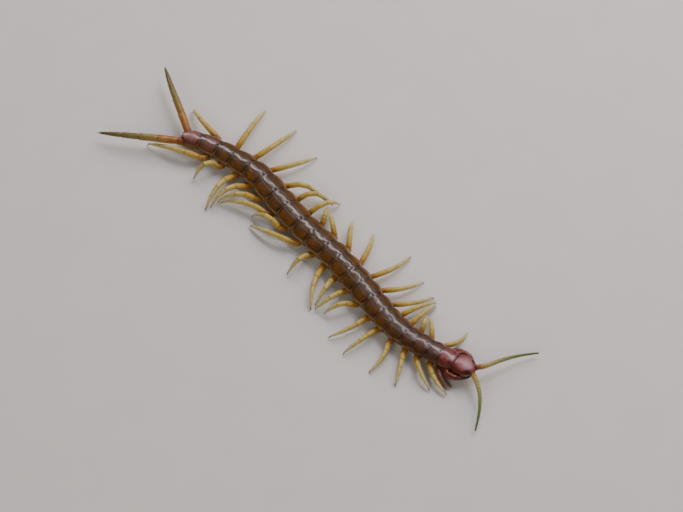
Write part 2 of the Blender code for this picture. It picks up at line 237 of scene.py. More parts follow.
def arched(start, foot, bow, arch, count=31):
    t = np.linspace(0.0, 1.0, count)[:, None]
    return start + (foot - start) * t + (bow + UP * arch) * 4 * t * (1 - t)


def leg_plan(number, side):
    """The line of a walking leg, its hip and the way it starts, the level way to the foot, and the foot.

    The arch is found by halving: too short a line gets a higher arch, too long a line a lower one.
    """
    swing, reach, bow = STANCES[side][number - 1]
    face, direction = hip(number, side)
    start = face + direction * HIP_LENGTH
    along, across = compass(segment_middle(number), side, swing)
    foot = np.array([face[0], face[1], FOOT_HEIGHT]) + along * reach
    table = np.interp(number, *np.array(LEG_LENGTHS).T)
    length = max(1.05 * reach, (table - FOOT_HEIGHT + 1.1 * reach) / 2) - HIP_LENGTH
    low, high = 0.0, HIGHEST_ARCH
    for _ in range(HALVINGS):
        arch = (low + high) / 2
        points = arched(start, foot, across * bow, arch)
        if np.linalg.norm(np.diff(points, axis=0), axis=1).sum() < length:
            low = arch
        else:
            high = arch
    line = Line([face - direction * 0.9, face, *arched(start, foot, across * bow, arch, 12)], 12)
    return line, face, direction, along, foot


print("the line of leg 10 is", round(leg_plan(10, "left")[0].length, 1), "mm long")

# %% Lay the plan on the solids
ON_FLOOR = 0.02


def standing_point(node):
    """Where a solid leg stands: the middle of its lowest points, in millimetres."""
    points = np.array([v.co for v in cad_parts[node].data.vertices]) / MM
    return points[points[:, 2] < ON_FLOOR].mean(axis=0)


MOVE = standing_point("leg_05_left") - leg_plan(5, "left")[4]
MOVE[2] = 0.0
worst = 0.0
for side in SIGN:
    for number in range(1, SEGMENTS):
        off = standing_point(f"leg_{number:02d}_{side}") - leg_plan(number, side)[4] - MOVE
        worst = max(worst, float(np.hypot(off[0], off[1])))
print("the plan moves by", np.round(MOVE, 3), "mm; feet agree within", round(worst, 3), "mm")

# %% [markdown]
# ## Making meshes
# Most pieces here are grids: rings along a line, or a plate with a top and an underside.
# Numpy gives all the points at once, which keeps each shape a short formula.
# A value for each point, such as how far out along the leg it lies, is kept as a mesh attribute
# for the materials to read, so colour follows the anatomy and not the render's coordinates.

# %% Adding a piece
PIECES = []


def add_piece(name, points, faces, material, values=None, stands_for=(), slot=None, sharp=50):
    """Makes a mesh object from points in millimetres, and lets it ride on the body."""
    mesh = bpy.data.meshes.new(name)
    placed = (np.asarray(points, float).reshape(-1, 3) + MOVE) * MM
    mesh.from_pydata(placed.tolist(), [], [tuple(int(i) for i in f) for f in faces])
    mesh.validate()
    for key, numbers in (values or {}).items():
        attribute = mesh.attributes.new(key, "FLOAT", "POINT")
        attribute.data.foreach_set("value", np.asarray(numbers, np.float32).ravel())
    mesh.shade_smooth()
    mesh.set_sharp_from_angle(angle=math.radians(sharp))
    mesh.materials.append(material)
    piece = bpy.data.objects.new(name, mesh)
    bpy.context.scene.collection.objects.link(piece)
    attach(piece, "root")
    if stands_for:
        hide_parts(*stands_for)
    PIECES.append(piece)
    return piece


# %% Grids and tubes
def full_turn(count):
    """Angles all the way round."""
    return np.arange(count) * 2 * math.pi / count


def grid_faces(rows, columns, around=False, first=0, flip=False):
    """Quads of a grid of points. around closes each row into a ring."""
    i, j = np.meshgrid(np.arange(rows - 1), np.arange(columns if around else columns - 1), indexing="ij")
    k = (j + 1) % columns
    quads = np.stack([i * columns + j, i * columns + k, (i + 1) * columns + k, (i + 1) * columns + j], -1)
    quads = quads.reshape(-1, 4) + first
    return quads[:, ::-1] if flip else quads


def tube_points(centres, radii, normal, around=16, squash=1.0):
    """Rings about a line. normal is the direction that the rings' first axis keeps to as well as it can."""
    centres = np.asarray(centres, float)
    tangent = unit(np.gradient(centres, axis=0))
    side = unit(normal - (tangent @ normal)[:, None] * tangent)
    top = np.cross(tangent, side)
    angle = full_turn(around)[None, :, None]
    ring = np.cos(angle) * side[:, None, :] + squash * np.sin(angle) * top[:, None, :]
    return centres[:, None, :] + ring * np.asarray(radii, float)[:, None, None]


def tube_mesh(rings):
    """Points and faces of rings closed by a fan at each end."""
    rows, columns = rings.shape[:2]
    points = np.vstack([rings.reshape(-1, 3), rings[0].mean(axis=0), rings[-1].mean(axis=0)])
    faces = [tuple(f) for f in grid_faces(rows, columns, around=True)]
    start, end = rows * columns, rows * columns + 1
    last = (rows - 1) * columns
    for j in range(columns):
        k = (j + 1) % columns
        faces.append((k, j, start))
        faces.append((last + j, last + k, end))
    return points, faces


# %% [markdown]
# ## Surface effects that the materials share
# Real shell is never one colour: pigment lies in soft clouds, and the surface has fine pits and wrinkles.
# Both could be painted images. Here they are node groups built from noise, because noise has no seams
# and needs no unwrapping. Each group is made once and every material gives it its own numbers.

# %% Node helpers
def feed(tree, socket, value):
    """Sets a socket to a number or a colour, or links an output to it."""
    if isinstance(value, (int, float)):
        socket.default_value = value
    elif isinstance(value, tuple):
        socket.default_value = (*value, 1)
    else:
        tree.links.new(value, socket)


def new_group(name, inputs, outputs):
    group = bpy.data.node_groups.new(name, "ShaderNodeTree")
    for label, kind, value in inputs:
        group.interface.new_socket(name=label, in_out="INPUT", socket_type=kind).default_value = value
    for label, kind in outputs:
        group.interface.new_socket(name=label, in_out="OUTPUT", socket_type=kind)
    return group, group.nodes.new("NodeGroupInput"), group.nodes.new("NodeGroupOutput")


def math_node(tree, operation, a, b, clamp=False):
    node = tree.nodes.new("ShaderNodeMath")
    node.operation = operation
    node.use_clamp = clamp
    feed(tree, node.inputs[0], a)
    feed(tree, node.inputs[1], b)
    return node.outputs[0]


def mix_colour(tree, share, one, two):
    """The Mix node keeps its colours in inputs 6 and 7, because it has sockets for other kinds as well."""
    node = tree.nodes.new("ShaderNodeMix")
    node.data_type = "RGBA"
    for place, value in ((0, share), (6, one), (7, two)):
        feed(tree, node.inputs[place], value)
    return node.outputs[2]


def noise(tree, scale, detail=3.0, roughness=0.5):
    node = tree.nodes.new("ShaderNodeTexNoise")
    place = tree.nodes.new("ShaderNodeTexCoord").outputs["Object"]
    for label, value in (("Vector", place), ("Scale", scale), ("Detail", detail), ("Roughness", roughness)):
        feed(tree, node.inputs[label], value)
    return node.outputs["Fac"]


# %% Pigment clouds
clouds, cloud_in, cloud_out = new_group(
    "pigment clouds",
    [("Base", "NodeSocketColor", (0.5, 0.5, 0.5, 1)), ("Cloud", "NodeSocketColor", (0.3, 0.3, 0.3, 1)),
     ("Scale", "NodeSocketFloat", 300.0), ("Amount", "NodeSocketFloat", 0.6)],
    [("Color", "NodeSocketColor"), ("Mask", "NodeSocketFloat")],
)
patch = noise(clouds, cloud_in.outputs["Scale"], 4.0, 0.6)
stretch = clouds.nodes.new("ShaderNodeMapRange")
for label, value in (("Value", patch), ("From Min", 0.36), ("From Max", 0.66)):
    feed(clouds, stretch.inputs[label], value)
share = math_node(clouds, "MULTIPLY", stretch.outputs["Result"], cloud_in.outputs["Amount"], clamp=True)
mixed = mix_colour(clouds, share, cloud_in.outputs["Base"], cloud_in.outputs["Cloud"])
clouds.links.new(mixed, cloud_out.inputs["Color"])
clouds.links.new(share, cloud_out.inputs["Mask"])
print("pigment clouds put out", [socket.name for socket in cloud_out.inputs if socket.name])

# %% Fine pits and wrinkles
WRINKLE_ROUGHNESS = 0.16
grain, grain_in, grain_out = new_group(
    "shell grain",
    [("Pits", "NodeSocketFloat", 3500.0), ("Wrinkles", "NodeSocketFloat", 900.0),
     ("Balance", "NodeSocketFloat", 0.5)],
    [("Height", "NodeSocketFloat"), ("Roughness", "NodeSocketFloat")],
)
cells = grain.nodes.new("ShaderNodeTexVoronoi")
cells.feature = "F1"
grain.links.new(grain.nodes.new("ShaderNodeTexCoord").outputs["Object"], cells.inputs["Vector"])
grain.links.new(grain_in.outputs["Pits"], cells.inputs["Scale"])
pit = math_node(grain, "MULTIPLY", cells.outputs["Distance"], grain_in.outputs["Balance"])
wrinkle = noise(grain, grain_in.outputs["Wrinkles"], 5.0, 0.65)
rough = math_node(grain, "MULTIPLY", wrinkle, WRINKLE_ROUGHNESS)
grain.links.new(math_node(grain, "ADD", pit, wrinkle), grain_out.inputs["Height"])
grain.links.new(rough, grain_out.inputs["Roughness"])
print("groups:", [g.name for g in bpy.data.node_groups])

# %% [markdown]
# ## Finishes
# Shell is a brown translucent layer under a clear waxy one. The Principled shader's coat gives the sharp
# shine of the wax, and the rougher base under it gives the soft glow. Masks from the meshes then place
# the pale rims, the dark joints and the change from orange hips to cream feet, as well as painted shade
# in the plates' dents and the skin's creases and a painted highlight on the head.

# %% Material helpers
def attribute(tree, name):
    node = tree.nodes.new("ShaderNodeAttribute")
    node.attribute_name = name
    return node.outputs["Fac"]


def ramp(tree, fac, stops):
    node = tree.nodes.new("ShaderNodeValToRGB")
    band = node.color_ramp
    while len(band.elements) < len(stops):
        band.elements.new(0.5)
    for element, (position, colour) in zip(band.elements, stops):
        element.position = position
        element.color = (*colour, 1)
    tree.links.new(fac, node.inputs["Fac"])
    return node.outputs["Color"]


def use_group(tree, group, **inputs):
    node = tree.nodes.new("ShaderNodeGroup")
    node.node_tree = group
    for label, value in inputs.items():
        feed(tree, node.inputs[label], value)
    return node


# %% One recipe for every shell
PIT_DEPTH = 0.0001


def shell(name, paint, cloud, cloud_scale=260.0, cloud_amount=0.5, gloss=0.3, coat=0.6, coat_gloss=0.16,
          pits=3200.0, wrinkles=800.0, balance=0.45, bump=0.5, glow=0.0):
    """A shell material. paint(tree) gives its clean colour, before clouds, grain and wax.

    cloud_amount is a number, or the name of a mesh attribute that holds it.
    """
    material = bpy.data.materials.new(name)
    material.use_nodes = True
    tree = material.node_tree
    shader = tree.nodes["Principled BSDF"]
    amount = attribute(tree, cloud_amount) if isinstance(cloud_amount, str) else cloud_amount
    pigment = use_group(tree, clouds, Base=paint(tree), Cloud=cloud, Scale=cloud_scale, Amount=amount)
    surface = use_group(tree, grain, Pits=pits, Wrinkles=wrinkles, Balance=balance)
    rough = math_node(tree, "ADD", surface.outputs["Roughness"], gloss - WRINKLE_ROUGHNESS / 2)
    relief = tree.nodes.new("ShaderNodeBump")
    height = surface.outputs["Height"]
    for label, value in (("Strength", bump), ("Distance", PIT_DEPTH), ("Height", height)):
        feed(tree, relief.inputs[label], value)
    inputs = {
        "Base Color": pigment.outputs["Color"], "Roughness": rough, "Normal": relief.outputs["Normal"],
        "Specular IOR Level": 0.2, "Coat Weight": coat, "Coat Roughness": coat_gloss,
    }
    if glow:
        inputs |= {"Subsurface Weight": glow, "Subsurface Scale": 0.001}
        shader.inputs["Subsurface Radius"].default_value = (1.0, 0.45, 0.15)
    for label, value in inputs.items():
        feed(tree, shader.inputs[label], value)
    return material


def paint_plain(colour, dark):
    """One colour with dark edges."""
    return lambda tree: mix_colour(tree, attribute(tree, "edge"), colour, dark)


def paint_along(stops, dark):
    """Stops from a limb's root (0) to its tip (1), with darker joints."""
    def paint(tree):
        return mix_colour(tree, attribute(tree, "joint"), ramp(tree, attribute(tree, "along"), stops), dark)
    return paint


# %% Colours of the back
OLIVE = (0.036, 0.030, 0.008)


def paint_back(middle, flank, dark, rim):
    """Colours of a plate. middle and flank are stops from tail (0) to head (1), read at its station."""
    def paint(tree):
        station = attribute(tree, "station")
        # Where the middle stops are pale, as on the head and at both ends of the trunk, they paint a
        # highlight along the back.
        inner, outer = ramp(tree, station, middle), ramp(tree, station, flank)
        body = mix_colour(tree, attribute(tree, "flank"), inner, outer)
        amount = attribute(tree, "olive")
        patches = use_group(tree, clouds, Base=body, Cloud=OLIVE, Scale=290.0, Amount=amount)
        body = mix_colour(tree, attribute(tree, "edge"), patches.outputs["Color"], dark)
        return mix_colour(tree, attribute(tree, "rim"), body, rim)
    return paint


# The pale pink middle of the last two plates at the tail and of the first plate is a painted highlight; the
# other stops are the plates' own colours.
MIDDLE_AND_SHEEN_STOPS = (
    (0.024, (0.270, 0.120, 0.115)), (0.071, (0.170, 0.080, 0.068)), (0.119, (0.090, 0.046, 0.020)),
    (0.72, (0.080, 0.040, 0.012)), (0.86, (0.120, 0.066, 0.050)), (0.93, (0.130, 0.066, 0.056)),
    (0.975, (0.280, 0.092, 0.088)),
)
FLANK_STOPS = (
    (0.024, (0.150, 0.048, 0.030)), (0.071, (0.165, 0.055, 0.024)), (0.119, (0.170, 0.062, 0.006)),
    (0.5, (0.195, 0.063, 0.002)), (0.8, (0.135, 0.046, 0.004)), (0.93, (0.066, 0.023, 0.008)),
    (0.975, (0.170, 0.027, 0.015)),
)
BACK = shell(
    "back plate shell", paint_back(MIDDLE_AND_SHEEN_STOPS, FLANK_STOPS, (0.014, 0.006, 0.003), (0.28, 0.17, 0.060)),
    cloud=(0.040, 0.015, 0.008), cloud_scale=860.0, cloud_amount="mottle",
    gloss=0.34, coat=0.55, coat_gloss=0.11, glow=0.06,
)
print("made", BACK.name, "with", len(BACK.node_tree.nodes), "nodes")

# %% Colours of the belly and the skin
BELLY = shell(
    "belly plate shell", paint_plain((0.24, 0.105, 0.026), (0.09, 0.032, 0.010)),
    cloud=(0.12, 0.045, 0.014), cloud_scale=380.0, cloud_amount=0.55, gloss=0.36, coat=0.35,
)


def paint_skin(tree):
    """The skin is tan behind and darkens towards the head, with painted shade in its folds and pinches."""
    plain = mix_colour(tree, attribute(tree, "front"), (0.27, 0.145, 0.062), (0.19, 0.062, 0.036))
    return mix_colour(tree, attribute(tree, "edge"), plain, (0.050, 0.020, 0.010))


SKIN = shell(
    "flank skin", paint_skin,
    cloud=(0.13, 0.055, 0.022), cloud_scale=900.0, cloud_amount=0.7, gloss=0.5, coat=0.1, coat_gloss=0.3,
    pits=5200.0, wrinkles=2200.0, balance=0.3, bump=0.9,
)
print("made", BELLY.name, "and", SKIN.name)

# %% Horn of the foot claws and lenses of the eyes
CLAW_STOPS = ((0.0, (0.36, 0.23, 0.08)), (0.4, (0.24, 0.120, 0.036)), (1.0, (0.055, 0.022, 0.010)))
CLAW = shell(
    "horn of the foot claws", lambda tree: ramp(tree, attribute(tree, "along"), CLAW_STOPS),
    cloud=(0.05, 0.02, 0.01), cloud_amount=0.3, gloss=0.28,
)
EYE = shell(
    "eye lens", paint_plain((0.004, 0.003, 0.004), (0.06, 0.012, 0.008)),
    cloud=(0.008, 0.006, 0.008), cloud_amount=0.3, gloss=0.12, coat=1.0, coat_gloss=0.03, bump=0.02,
)
print("made", CLAW.name, "and", EYE.name)

# %% Colours of the legs
LEG_STOPS = ((0.0, (0.32, 0.12, 0.020)), (0.12, (0.43, 0.24, 0.038)), (0.28, (0.48, 0.36, 0.075)),
             (0.60, (0.50, 0.43, 0.135)), (0.85, (0.54, 0.49, 0.24)), (1.0, (0.40, 0.35, 0.15)))
LEG = shell(
    "leg shell", paint_along(LEG_STOPS, (0.20, 0.080, 0.018)),
    cloud=(0.36, 0.21, 0.045), cloud_scale=600.0, cloud_amount=0.45,
    gloss=0.38, coat=0.3, coat_gloss=0.2, glow=0.12,
)
FIRST_STOPS = ((0.0, (0.13, 0.034, 0.020)), (0.3, (0.17, 0.060, 0.036)), (0.7, (0.25, 0.11, 0.065)),
               (1.0, (0.22, 0.09, 0.05)))
FIRST_LEG_SHELL = shell(
    "first leg shell", paint_along(FIRST_STOPS, (0.08, 0.020, 0.010)),
    cloud=(0.14, 0.035, 0.020), cloud_scale=600.0, cloud_amount=0.5,
    gloss=0.36, coat=0.4, coat_gloss=0.18, glow=0.1,
)
LAST_STOPS = ((0.0, (0.30, 0.115, 0.030)), (0.20, (0.37, 0.190, 0.044)), (0.28, (0.27, 0.205, 0.050)),
              (0.46, (0.19, 0.185, 0.056)), (0.75, (0.115, 0.130, 0.050)), (1.0, (0.07, 0.085, 0.034)))
LAST_LEG_SHELL = shell(
    "last leg shell", paint_along(LAST_STOPS, (0.13, 0.032, 0.006)),
    cloud=(0.22, 0.06, 0.010), cloud_scale=520.0, cloud_amount=0.5,
    gloss=0.34, coat=0.4, coat_gloss=0.18, glow=0.1,
)
print("made", LEG.name, "and those of the first and the last pair")

# %% Colours of the feelers, the head and the venom claws
FEELER_STOPS = ((0.0, (0.26, 0.085, 0.028)), (0.05, (0.42, 0.27, 0.080)), (0.11, (0.43, 0.35, 0.12)),
                (0.26, (0.33, 0.32, 0.12)), (0.44, (0.20, 0.26, 0.080)), (0.62, (0.095, 0.185, 0.048)),
                (1.0, (0.050, 0.095, 0.030)))
FEELER = shell(
    "feeler shell", paint_along(FEELER_STOPS, (0.14, 0.080, 0.022)),
    cloud=(0.22, 0.16, 0.04), cloud_scale=700.0, cloud_amount=0.35,
    gloss=0.5, coat=0.1, coat_gloss=0.3, glow=0.08, pits=6000.0, wrinkles=2500.0, bump=0.7,
)
# The head's pale lilac middle is a painted highlight; the maroon around it is the head's own colour.
HEAD_PAINTED_SHEEN = ((0.0, (0.31, 0.120, 0.135)), (1.0, (0.31, 0.120, 0.135)))
HEAD_FLANK = ((0.0, (0.120, 0.022, 0.013)), (1.0, (0.120, 0.022, 0.013)))
HEAD = shell(
    "head shell", paint_back(HEAD_PAINTED_SHEEN, HEAD_FLANK, (0.022, 0.004, 0.003), (0.26, 0.055, 0.018)),
    cloud=(0.075, 0.012, 0.009), cloud_scale=520.0, cloud_amount=0.45,
    gloss=0.38, coat=0.45, coat_gloss=0.19, glow=0.05,
)
VENOM_STOPS = ((0.0, (0.16, 0.026, 0.010)), (0.5, (0.15, 0.018, 0.007)), (0.70, (0.10, 0.011, 0.005)),
               (0.84, (0.020, 0.005, 0.004)), (1.0, (0.006, 0.003, 0.003)))
VENOM = shell(
    "venom claw shell", paint_along(VENOM_STOPS, (0.030, 0.005, 0.004)),
    cloud=(0.06, 0.008, 0.005), cloud_scale=600.0, cloud_amount=0.45, gloss=0.28, coat=0.8, coat_gloss=0.14,
)
print("materials:", [m.name for m in bpy.data.materials])

# %% [markdown]
# ## Back plates
# A hard plate covers the back of each segment. Its rear edge lies over the front of the plate behind, like
# tiles, so the body can bend. The sides carry a raised pale rim, two fine seams run along the back, and
# a small dent lies near the front. Dark olive patches cloud the plates of the middle of the body.
# A flat sheet with Solidify would give even walls, but the rim, seams and tucked front need their own
# heights, so each plate is a grid whose height is a formula, with its own underside.

# %% Curves and columns
def smooth(x, low, high):
    """0 below low, 1 above high, and an even turn between them."""
    t = np.clip((np.asarray(x, float) - low) / (high - low), 0.0, 1.0)
    return t * t * (3 - 2 * t)


def bell(x, middle, width):
    return np.exp(-(((x - middle) / width) ** 2))


def spread(count, crowd=0.75):
    """Numbers from -1 to 1 that lie closer together near both ends."""
    t = np.linspace(-1.0, 1.0, count)
    return (1 - crowd) * t + crowd * np.sin(t * math.pi / 2)


def with_grooves(columns, place, width):
    """Adds columns at both sides' grooves, so that a groove finer than the grid still shows."""
    near = place + width * np.linspace(-1.6, 1.6, 5)
    clear = columns[np.abs(np.abs(columns) - place) > 2.2 * width]
    return np.sort(np.concatenate([clear, near, -near]))


print("a row of seven crowded columns:", np.round(spread(7), 2))


# %% A closed plate
def plate_mesh(top, under):
    """Points and faces of a closed plate from the grids of its two sides."""
    rows, columns = top.shape[:2]
    size = rows * columns
    faces = [tuple(f) for f in grid_faces(rows, columns, flip=True)]
    faces += [tuple(f) for f in grid_faces(rows, columns, first=size)]
    rim = [*range(columns)]
    rim += [r * columns + columns - 1 for r in range(1, rows)]
    rim += [(rows - 1) * columns + c for c in range(columns - 2, -1, -1)]
    rim += [r * columns for r in range(rows - 2, 0, -1)]
    for a, b in zip(rim, rim[1:] + rim[:1]):
        faces.append((a, b, b + size, a + size))
    return np.vstack([top.reshape(-1, 3), under.reshape(-1, 3)]), faces


def lay_plate(name, top, under, material, values, downwards=False, **kw):
    """Makes a piece from the grids of a plate's two sides, with the same values on both."""
    points, faces = plate_mesh(top, under)
    if downwards:
        faces = [f[::-1] for f in faces]
    values = {key: np.tile(value.ravel(), 2) for key, value in values.items()}
    return add_piece(name, points, faces, material, values, **kw)


# %% The outline of a back plate
REAR_LAP = 0.38
FRONT_TUCK = 0.3
ROWS, COLUMNS = 34, 56
SEAM, SEAM_WIDTH = 0.31, 0.012  # the seams' place between the middle (0) and the side (1), and their width


def node_of(number):
    """The solid trunk length that holds a segment. All hold two segments, apart from the last."""
    if number == SEGMENTS:
        return f"trunk_{number:02d}"
    first = number - 1 + number % 2
    return f"trunk_{first:02d}_{first + 1:02d}"


def back_profile(b):
    """Height of the back over the axis, as a share of half the trunk's height."""
    return np.sqrt(1 - np.abs(0.993 * b) ** 2.6)


def plate_outline(number, a, b):
    """Distance along the body and half width. a runs from rear (-1) to front (1), b from side to side."""
    last = number == SEGMENTS
    start = segment_start(number)
    rear = 0.0 if last else start - REAR_LAP
    front = start + segment_length(number) + (0.1 if number == 1 else FRONT_TUCK)
    bend, corner = (0.34, 2.5) if last else (0.13, 4.0)
    along = a * (1 - np.where(a < 0, bend, 0.07) * np.abs(b) ** corner)
    distance = (rear + front) / 2 + along * (front - rear) / 2
    taper = 1 - (0.30 if last else 0.13) * np.clip(-a, 0, 1) ** 4
    taper = taper * (1 - 0.12 * smooth(a, -0.1, 1.0) - 0.08 * np.clip(a, 0, 1) ** 8)
    return distance, width_at(distance) / 2 * taper * 1.01


for number in (1, 11, SEGMENTS):
    _, half = plate_outline(number, np.array([-1.0, 0.0, 1.0]), 0.0)
    print("plate", number, "of", node_of(number), "has half widths of", np.round(half, 2), "mm")


# %% The relief of a back plate
# Places are shares from the middle (0) to the edge (1), heights and depths are in millimetres
RISE = ((-1.0, 0.12), (-0.6, 0.13), (0.0, 0.12), (0.55, 0.02), (0.8, -0.12), (1.0, -0.38))
RIM, RIM_WIDTH, RIM_HEIGHT = 0.985, 0.022, 0.10
REAR_RIM_WIDTH, REAR_RIM_HEIGHT = 0.03, 0.06
SEAM_DEPTH = 0.04
FURROW, FURROW_WIDTH, FURROW_DEPTH = 0.925, 0.022, 0.07
DENT, DENT_LENGTH, DENT_WIDTH, DENT_DEPTH = 0.66, 0.13, 0.10, 0.13
EDGE_WALL, THICKER = 0.07, 0.12


def plate_marks(number, a, b):
    """How much of a side rim, rear rim, seam, furrow beside the rim and dent there is at each place."""
    side = np.abs(b)
    rim = bell(side, RIM, RIM_WIDTH)
    rear_rim = bell(a, -RIM, REAR_RIM_WIDTH) * (0.35 + 0.65 * smooth(side, 0.4, 0.9))
    seams = bell(side, SEAM, SEAM_WIDTH) * smooth(a, -0.97, -0.85) * (1 - smooth(a, 0.82, 0.9))
    furrow = bell(side, FURROW, FURROW_WIDTH) * (1 - smooth(a, 0.75, 0.95))
    dent = bell(a, DENT, DENT_LENGTH) * bell(b, 0.0, DENT_WIDTH)
    if number in (1, SEGMENTS):
        seams, dent = seams * 0.3, dent * 0.0
    return rim, rear_rim, seams, furrow, dent


def plate_sheets(number, a, b):
    """The grids of a plate's top and underside."""
    rim, rear_rim, seams, furrow, dent = plate_marks(number, a, b)
    side = np.abs(b)
    distance, half = plate_outline(number, a, b)
    y = b * half
    z = back_profile(b) * tall_at(distance)
    out, up = -np.gradient(z, axis=1), np.gradient(y, axis=1)
    size = np.hypot(out, up) + 1e-9
    height = AXIS_HEIGHT + z + np.interp(a, *np.array(RISE).T)
    ripple = 0.02 * np.sin(a * 5.1 + number) * np.sin(b * 4.3 + 2.1 * number)
    ripple = ripple - 0.03 * bell(a, 0.5, 0.12) * side
    raised = RIM_HEIGHT * rim + REAR_RIM_HEIGHT * rear_rim
    lift = raised - SEAM_DEPTH * seams - FURROW_DEPTH * furrow - DENT_DEPTH * dent + ripple
    inner = 1 - smooth(side, 0.85, 1.0)
    low = lift - EDGE_WALL - THICKER * inner * (1 - smooth(np.abs(a), 0.85, 1.0))
    top = beside(distance, y + out / size * lift, height + up / size * lift)
    under = beside(distance, (y + out / size * low) * 0.992, height + up / size * low)
    return top, under


# %% The paint of a back plate
def plate_values(number, a, b):
    """What the material reads at each point, by the names of the mesh attributes."""
    rim, _, seams, furrow, dent = plate_marks(number, a, b)
    side = np.abs(b)
    station = np.full(a.shape, 1 - (number - 0.5) / SEGMENTS)
    behind = bell(a, -0.86, 0.12) * (0.5 + 0.5 * smooth(side, 0.2, 0.6)) * (1 - 0.4 * rim)
    front_shade = smooth(a, 0.48, 0.82) if number > 1 else 0.8 * smooth(a, 0.88, 0.98)
    # 0.9 * dent is painted shade in the hollow of the dent near each plate's front.
    edge = front_shade + 0.8 * behind + 0.9 * dent + 0.4 * seams + 0.5 * furrow
    flank = smooth(side + 0.05 * math.sin(2.7 * number), 0.22, 0.8)
    flank = flank * (0.86 + 0.14 * math.sin(1.9 * number + 1))
    side_paint = bell(side, 0.99, 0.035) * (1 - smooth(a, 0.7, 0.98))
    rear_paint = (0.3 + 0.4 * smooth(side, 0.3, 0.8)) * bell(a, -1.0, 0.045)
    strength = (1 - 0.65 * smooth(station, 0.76, 0.92)) * (0.5 if number == SEGMENTS else 1)
    return {
        "edge": np.clip(edge, 0, 1),
        "flank": flank,
        "rim": np.clip((side_paint + rear_paint) * strength, 0, 1),
        "station": station,
        "mottle": 0.55 + 0.28 * smooth(station, 0.72, 0.88),
        "olive": 0.7 * smooth(station, 0.02, 0.12) * (1 - smooth(station, 0.78, 0.94)),
    }


# %% Lay the back plates
a, b = np.meshgrid(spread(ROWS), with_grooves(spread(COLUMNS, 0.6), SEAM, SEAM_WIDTH), indexing="ij")
for number in range(1, SEGMENTS + 1):
    lay_plate(f"back_plate_{number:02d}", *plate_sheets(number, a, b), BACK, plate_values(number, a, b),
              stands_for=[node_of(number)], slot="back_plates")
print("back plates:", SEGMENTS, "with", 2 * a.size, "points each")

# %% [markdown]
# ## Belly plates
# The belly has a row of flatter, paler plates with two long grooves each.
# They could be the back plates turned over, but they are narrower and nearly flat, and both ends show,
# so they get a formula of their own that sits on the same section.

# %% Lay the belly plates
BELLY_SEAM, BELLY_SEAM_WIDTH, BELLY_SEAM_DEPTH = 0.42, 0.022, 0.08
BELLY_SHARE, LAST_BELLY_SHARE = 0.62, 0.5  # of the trunk's width
BELLY_BULGE = 0.10
BELLY_WALL = 0.16


def belly_profile(b):
    """Depth of the belly plate under the axis, as a share of half the trunk's height."""
    return 1.0 - 0.13 * np.abs(b) ** 2.2


def belly_plate(number, a, b):
    last = number == SEGMENTS
    rear = segment_start(number) + (1.2 if last else 0.25)
    front = segment_start(number) + segment_length(number) - 0.1
    distance = (rear + front) / 2 + a * (1 - 0.10 * np.abs(b) ** 6) * (front - rear) / 2
    taper = (1 - 0.10 * np.abs(a) ** 6) * (1 - 0.05 * a) * (0.78 + 0.2 * (a + 1) / 2 if last else 1)
    y = b * (LAST_BELLY_SHARE if last else BELLY_SHARE) * width_at(distance) / 2 * taper
    z = AXIS_HEIGHT - belly_profile(b) * tall_at(distance)
    groove = bell(np.abs(b), BELLY_SEAM, BELLY_SEAM_WIDTH) * (1 - smooth(np.abs(a), 0.8, 0.95))
    bulge = BELLY_BULGE * (1 - np.abs(a) ** 4) * (1 - np.abs(b) ** 6) - BELLY_SEAM_DEPTH * groove
    edge = np.clip(smooth(np.abs(a), 0.8, 1.0) + smooth(np.abs(b), 0.85, 1.0) + groove, 0, 1)
    outside, inside = beside(distance, y, z - 0.02 - bulge), beside(distance, y * 0.98, z + BELLY_WALL)
    lay_plate(f"belly_plate_{number:02d}", outside, inside, BELLY, {"edge": edge}, downwards=True,
              slot="back_plates")


a, b = np.meshgrid(spread(22), with_grooves(spread(34, 0.5), BELLY_SEAM, BELLY_SEAM_WIDTH), indexing="ij")
for number in range(1, SEGMENTS + 1):
    belly_plate(number, a, b)
print("belly plates:", SEGMENTS)

# %% [markdown]
# ## The skin between the plates
# Between back and belly the flank is soft, folded skin, which lets the body bend and the plates slide.
# It is one unbroken surface on the animal, so here it is one tube along the whole trunk that runs
# under all the plates: no seam can show between two segments.

# %% Stretch the skin
SKIN_HALF = Line((
    (0.0, 0.90), (0.4, 0.86), (0.7, 0.66), (0.86, 0.34), (0.91, 0.10), (0.885, -0.08),
    (0.895, -0.30), (0.84, -0.56), (0.66, -0.84), (0.35, -0.93), (0.0, -0.95),
))
SKIN_STEP = 0.3
PINCH_REACH, PINCH_DEPTH = 0.8, 0.12  # the skin draws in between two segments
FOLD_DEPTH = 0.05


def skin_ring(count=27):
    """The skin's section: half of it from back to belly, then its mirror image."""
    half = SKIN_HALF.at(np.linspace(0.0, 1.0, count) * SKIN_HALF.length)[:, :2]
    return np.vstack([half, (half * [-1, 1])[::-1][1:-1]])


